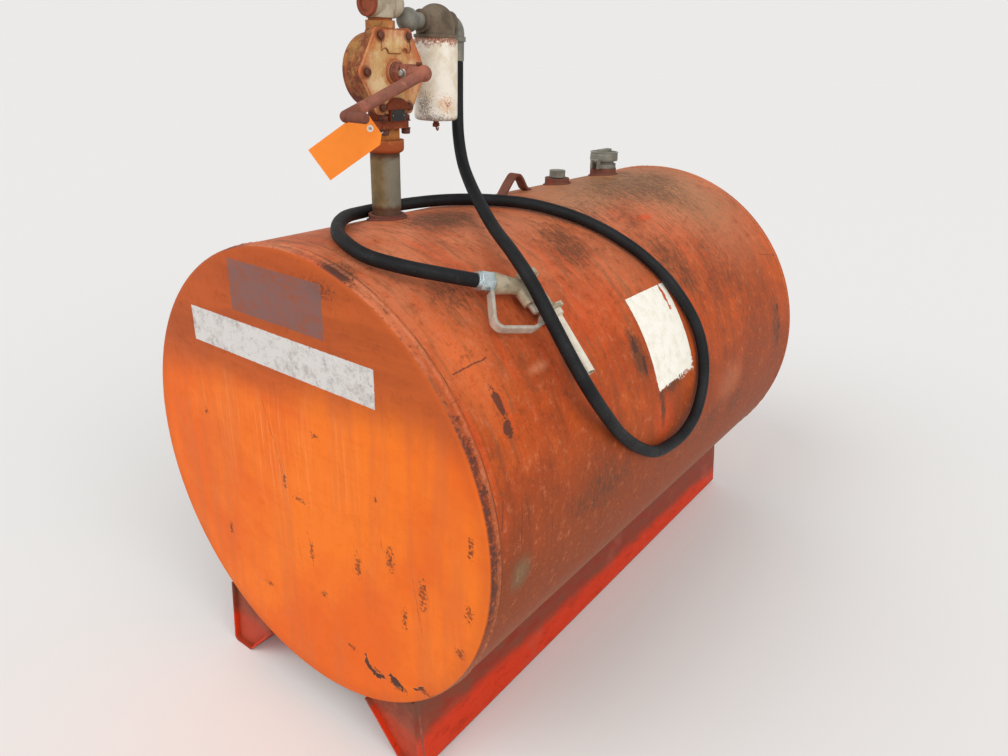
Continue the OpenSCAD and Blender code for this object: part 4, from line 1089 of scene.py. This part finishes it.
def tubeAlong(bm, points, radius, sides, steps=5):
    line = smoothPath(points, steps)
    ref = Vector((0.3, 0.5, 0.8))
    rings = []
    for back, at, ahead in zip(line[:1] + line, line, line[1:] + line[-1:]):
        rings.append(ringOn(bm, at, (ahead - back).normalized(), radius, sides, ref))
    skinRings(bm, rings)


def makeTrim(opts):
    middle, width, height, thick = opts["plate"]
    bm = bmesh.new()
    boxRound(bm, middle, (width, height, thick), opts["plateEdge"], (1, 0, 0))
    addPiece("blank_plate", bm, plateEnamel, smooth=False)
    bm = bmesh.new()
    for sy in (-1, 1):
        at = Vector(middle) + Vector((thick / 2, sy * (width / 2 - opts["rivetInset"]), 0))
        skinRings(bm, [ringOn(bm, at + Vector((h, 0, 0)), Vector((1, 0, 0)), r, 12, Vector((0, 0, 1)))
                       for h, r in opts["rivet"]])
    addPiece("plate_rivets", bm, brightBolt)
    for name, key, finish, slotName in (("crank_set_bolt", "setBolt", boltIron, "dark_casting"),
                                        ("clamp_bolt", "blockBolt", brightBolt, "bright_plate")):
        at, *rest = opts[key]
        bm = bmesh.new()
        hexHead(bm, Vector(at), *rest)
        addPiece(name, bm, finish, body="crank")
    for name, key, finish, slotName in (("seal_wire", "seal", boltIron, "dark_casting"),
                                        ("drain_handle", "drain", rustyIron, "rusty_iron")):
        radius, sides, points = opts[key]
        bm = bmesh.new()
        tubeAlong(bm, points, radius, sides)
        addPiece(name, bm, finish)
    # white ring round the tag's hole
    heading, slope = (math.radians(v) for v in opts["tagTurn"])
    along = Vector((math.cos(slope) * math.cos(heading), math.cos(slope) * math.sin(heading), math.sin(slope)))
    front = Vector((math.sin(heading), -math.cos(heading), 0))
    eye = Vector(opts["tagMiddle"]) + opts["eyeAlong"] * along
    for side, name in ((-1, "tag_ring_back"), (1, "tag_ring_front")):
        bm = bmesh.new()
        rings = [ringOn(bm, eye + side * h * front, side * front, r, 28, along) for r, h in opts["eyeRing"]]
        skinRings(bm, rings, True)
        addPiece(name, bm, wireCoat, smooth=False)
    bm = bmesh.new()
    up = Vector((0, 0, 1))
    for centre in opts["lidBeads"]:
        line = circleLine(centre, up, opts["lidRadius"], opts["lidStep"])
        rings = [ringOn(bm, at, (line[(i + 1) % len(line)] - line[i - 1]).normalized(), opts["lidBead"], 8, up)
                 for i, at in enumerate(line)]
        skinRings(bm, rings, True)
    addPiece("fill_lid_beads", bm, galvanised, body="fill_lid")


makeTrim(trimSet)

print("studio")
studioSet = {
    "floor": (238, 237, 235),
    "backdrop": (235, 234, 232),
    "world": 0.55,
    # place that the light shines from, strength, softness in degrees
    "suns": [((-0.45, -1.2, 1.1), 1.0, 40), ((1.3, -0.5, 0.9), 1.3, 50)],
}


def makeStudio(opts):
    scene = bpy.context.scene
    scene.view_settings.view_transform = "Standard"
    bm = bmesh.new()
    bmesh.ops.create_grid(bm, x_segments=2, y_segments=2, size=60)
    data = bpy.data.meshes.new("studio_floor")
    bm.to_mesh(data)
    bm.free()
    floor = bpy.data.objects.new("studio_floor", data)
    scene.collection.objects.link(floor)
    mat, shader, _ = newFinish("studio_floor", roughness=0.95, specular=0.1)
    feed(shader.inputs["Base Color"], tint(*opts["floor"]))
    data.materials.append(mat)
    world = bpy.data.worlds.new("studio_world")
    world.use_nodes = True
    world.node_tree.nodes.clear()
    scene.world = world
    bench["tree"] = world.node_tree
    # the world lights the scene in white, and the camera sees the backdrop's colour
    path = place("ShaderNodeLightPath", {})
    seen = either(path.outputs["Is Camera Ray"], path.outputs["Is Transmission Ray"])
    light = place("ShaderNodeBackground", {0: (1, 1, 1, 1), 1: opts["world"]})
    show = place("ShaderNodeBackground", {0: tint(*opts["backdrop"])})
    pick = place("ShaderNodeMixShader", {0: seen, 1: light.outputs[0], 2: show.outputs[0]})
    place("ShaderNodeOutputWorld", {0: pick.outputs[0]})
    for number, (at, strength, softness) in enumerate(opts["suns"]):
        lamp = bpy.data.lights.new("studio_light_%d" % number, "SUN")
        lamp.energy = strength
        lamp.angle = math.radians(softness)
        obj = bpy.data.objects.new(lamp.name, lamp)
        scene.collection.objects.link(obj)
        obj.location = at
        obj.rotation_euler = (-Vector(at)).to_track_quat("-Z", "Y").to_euler()


makeStudio(studioSet)

print("done")
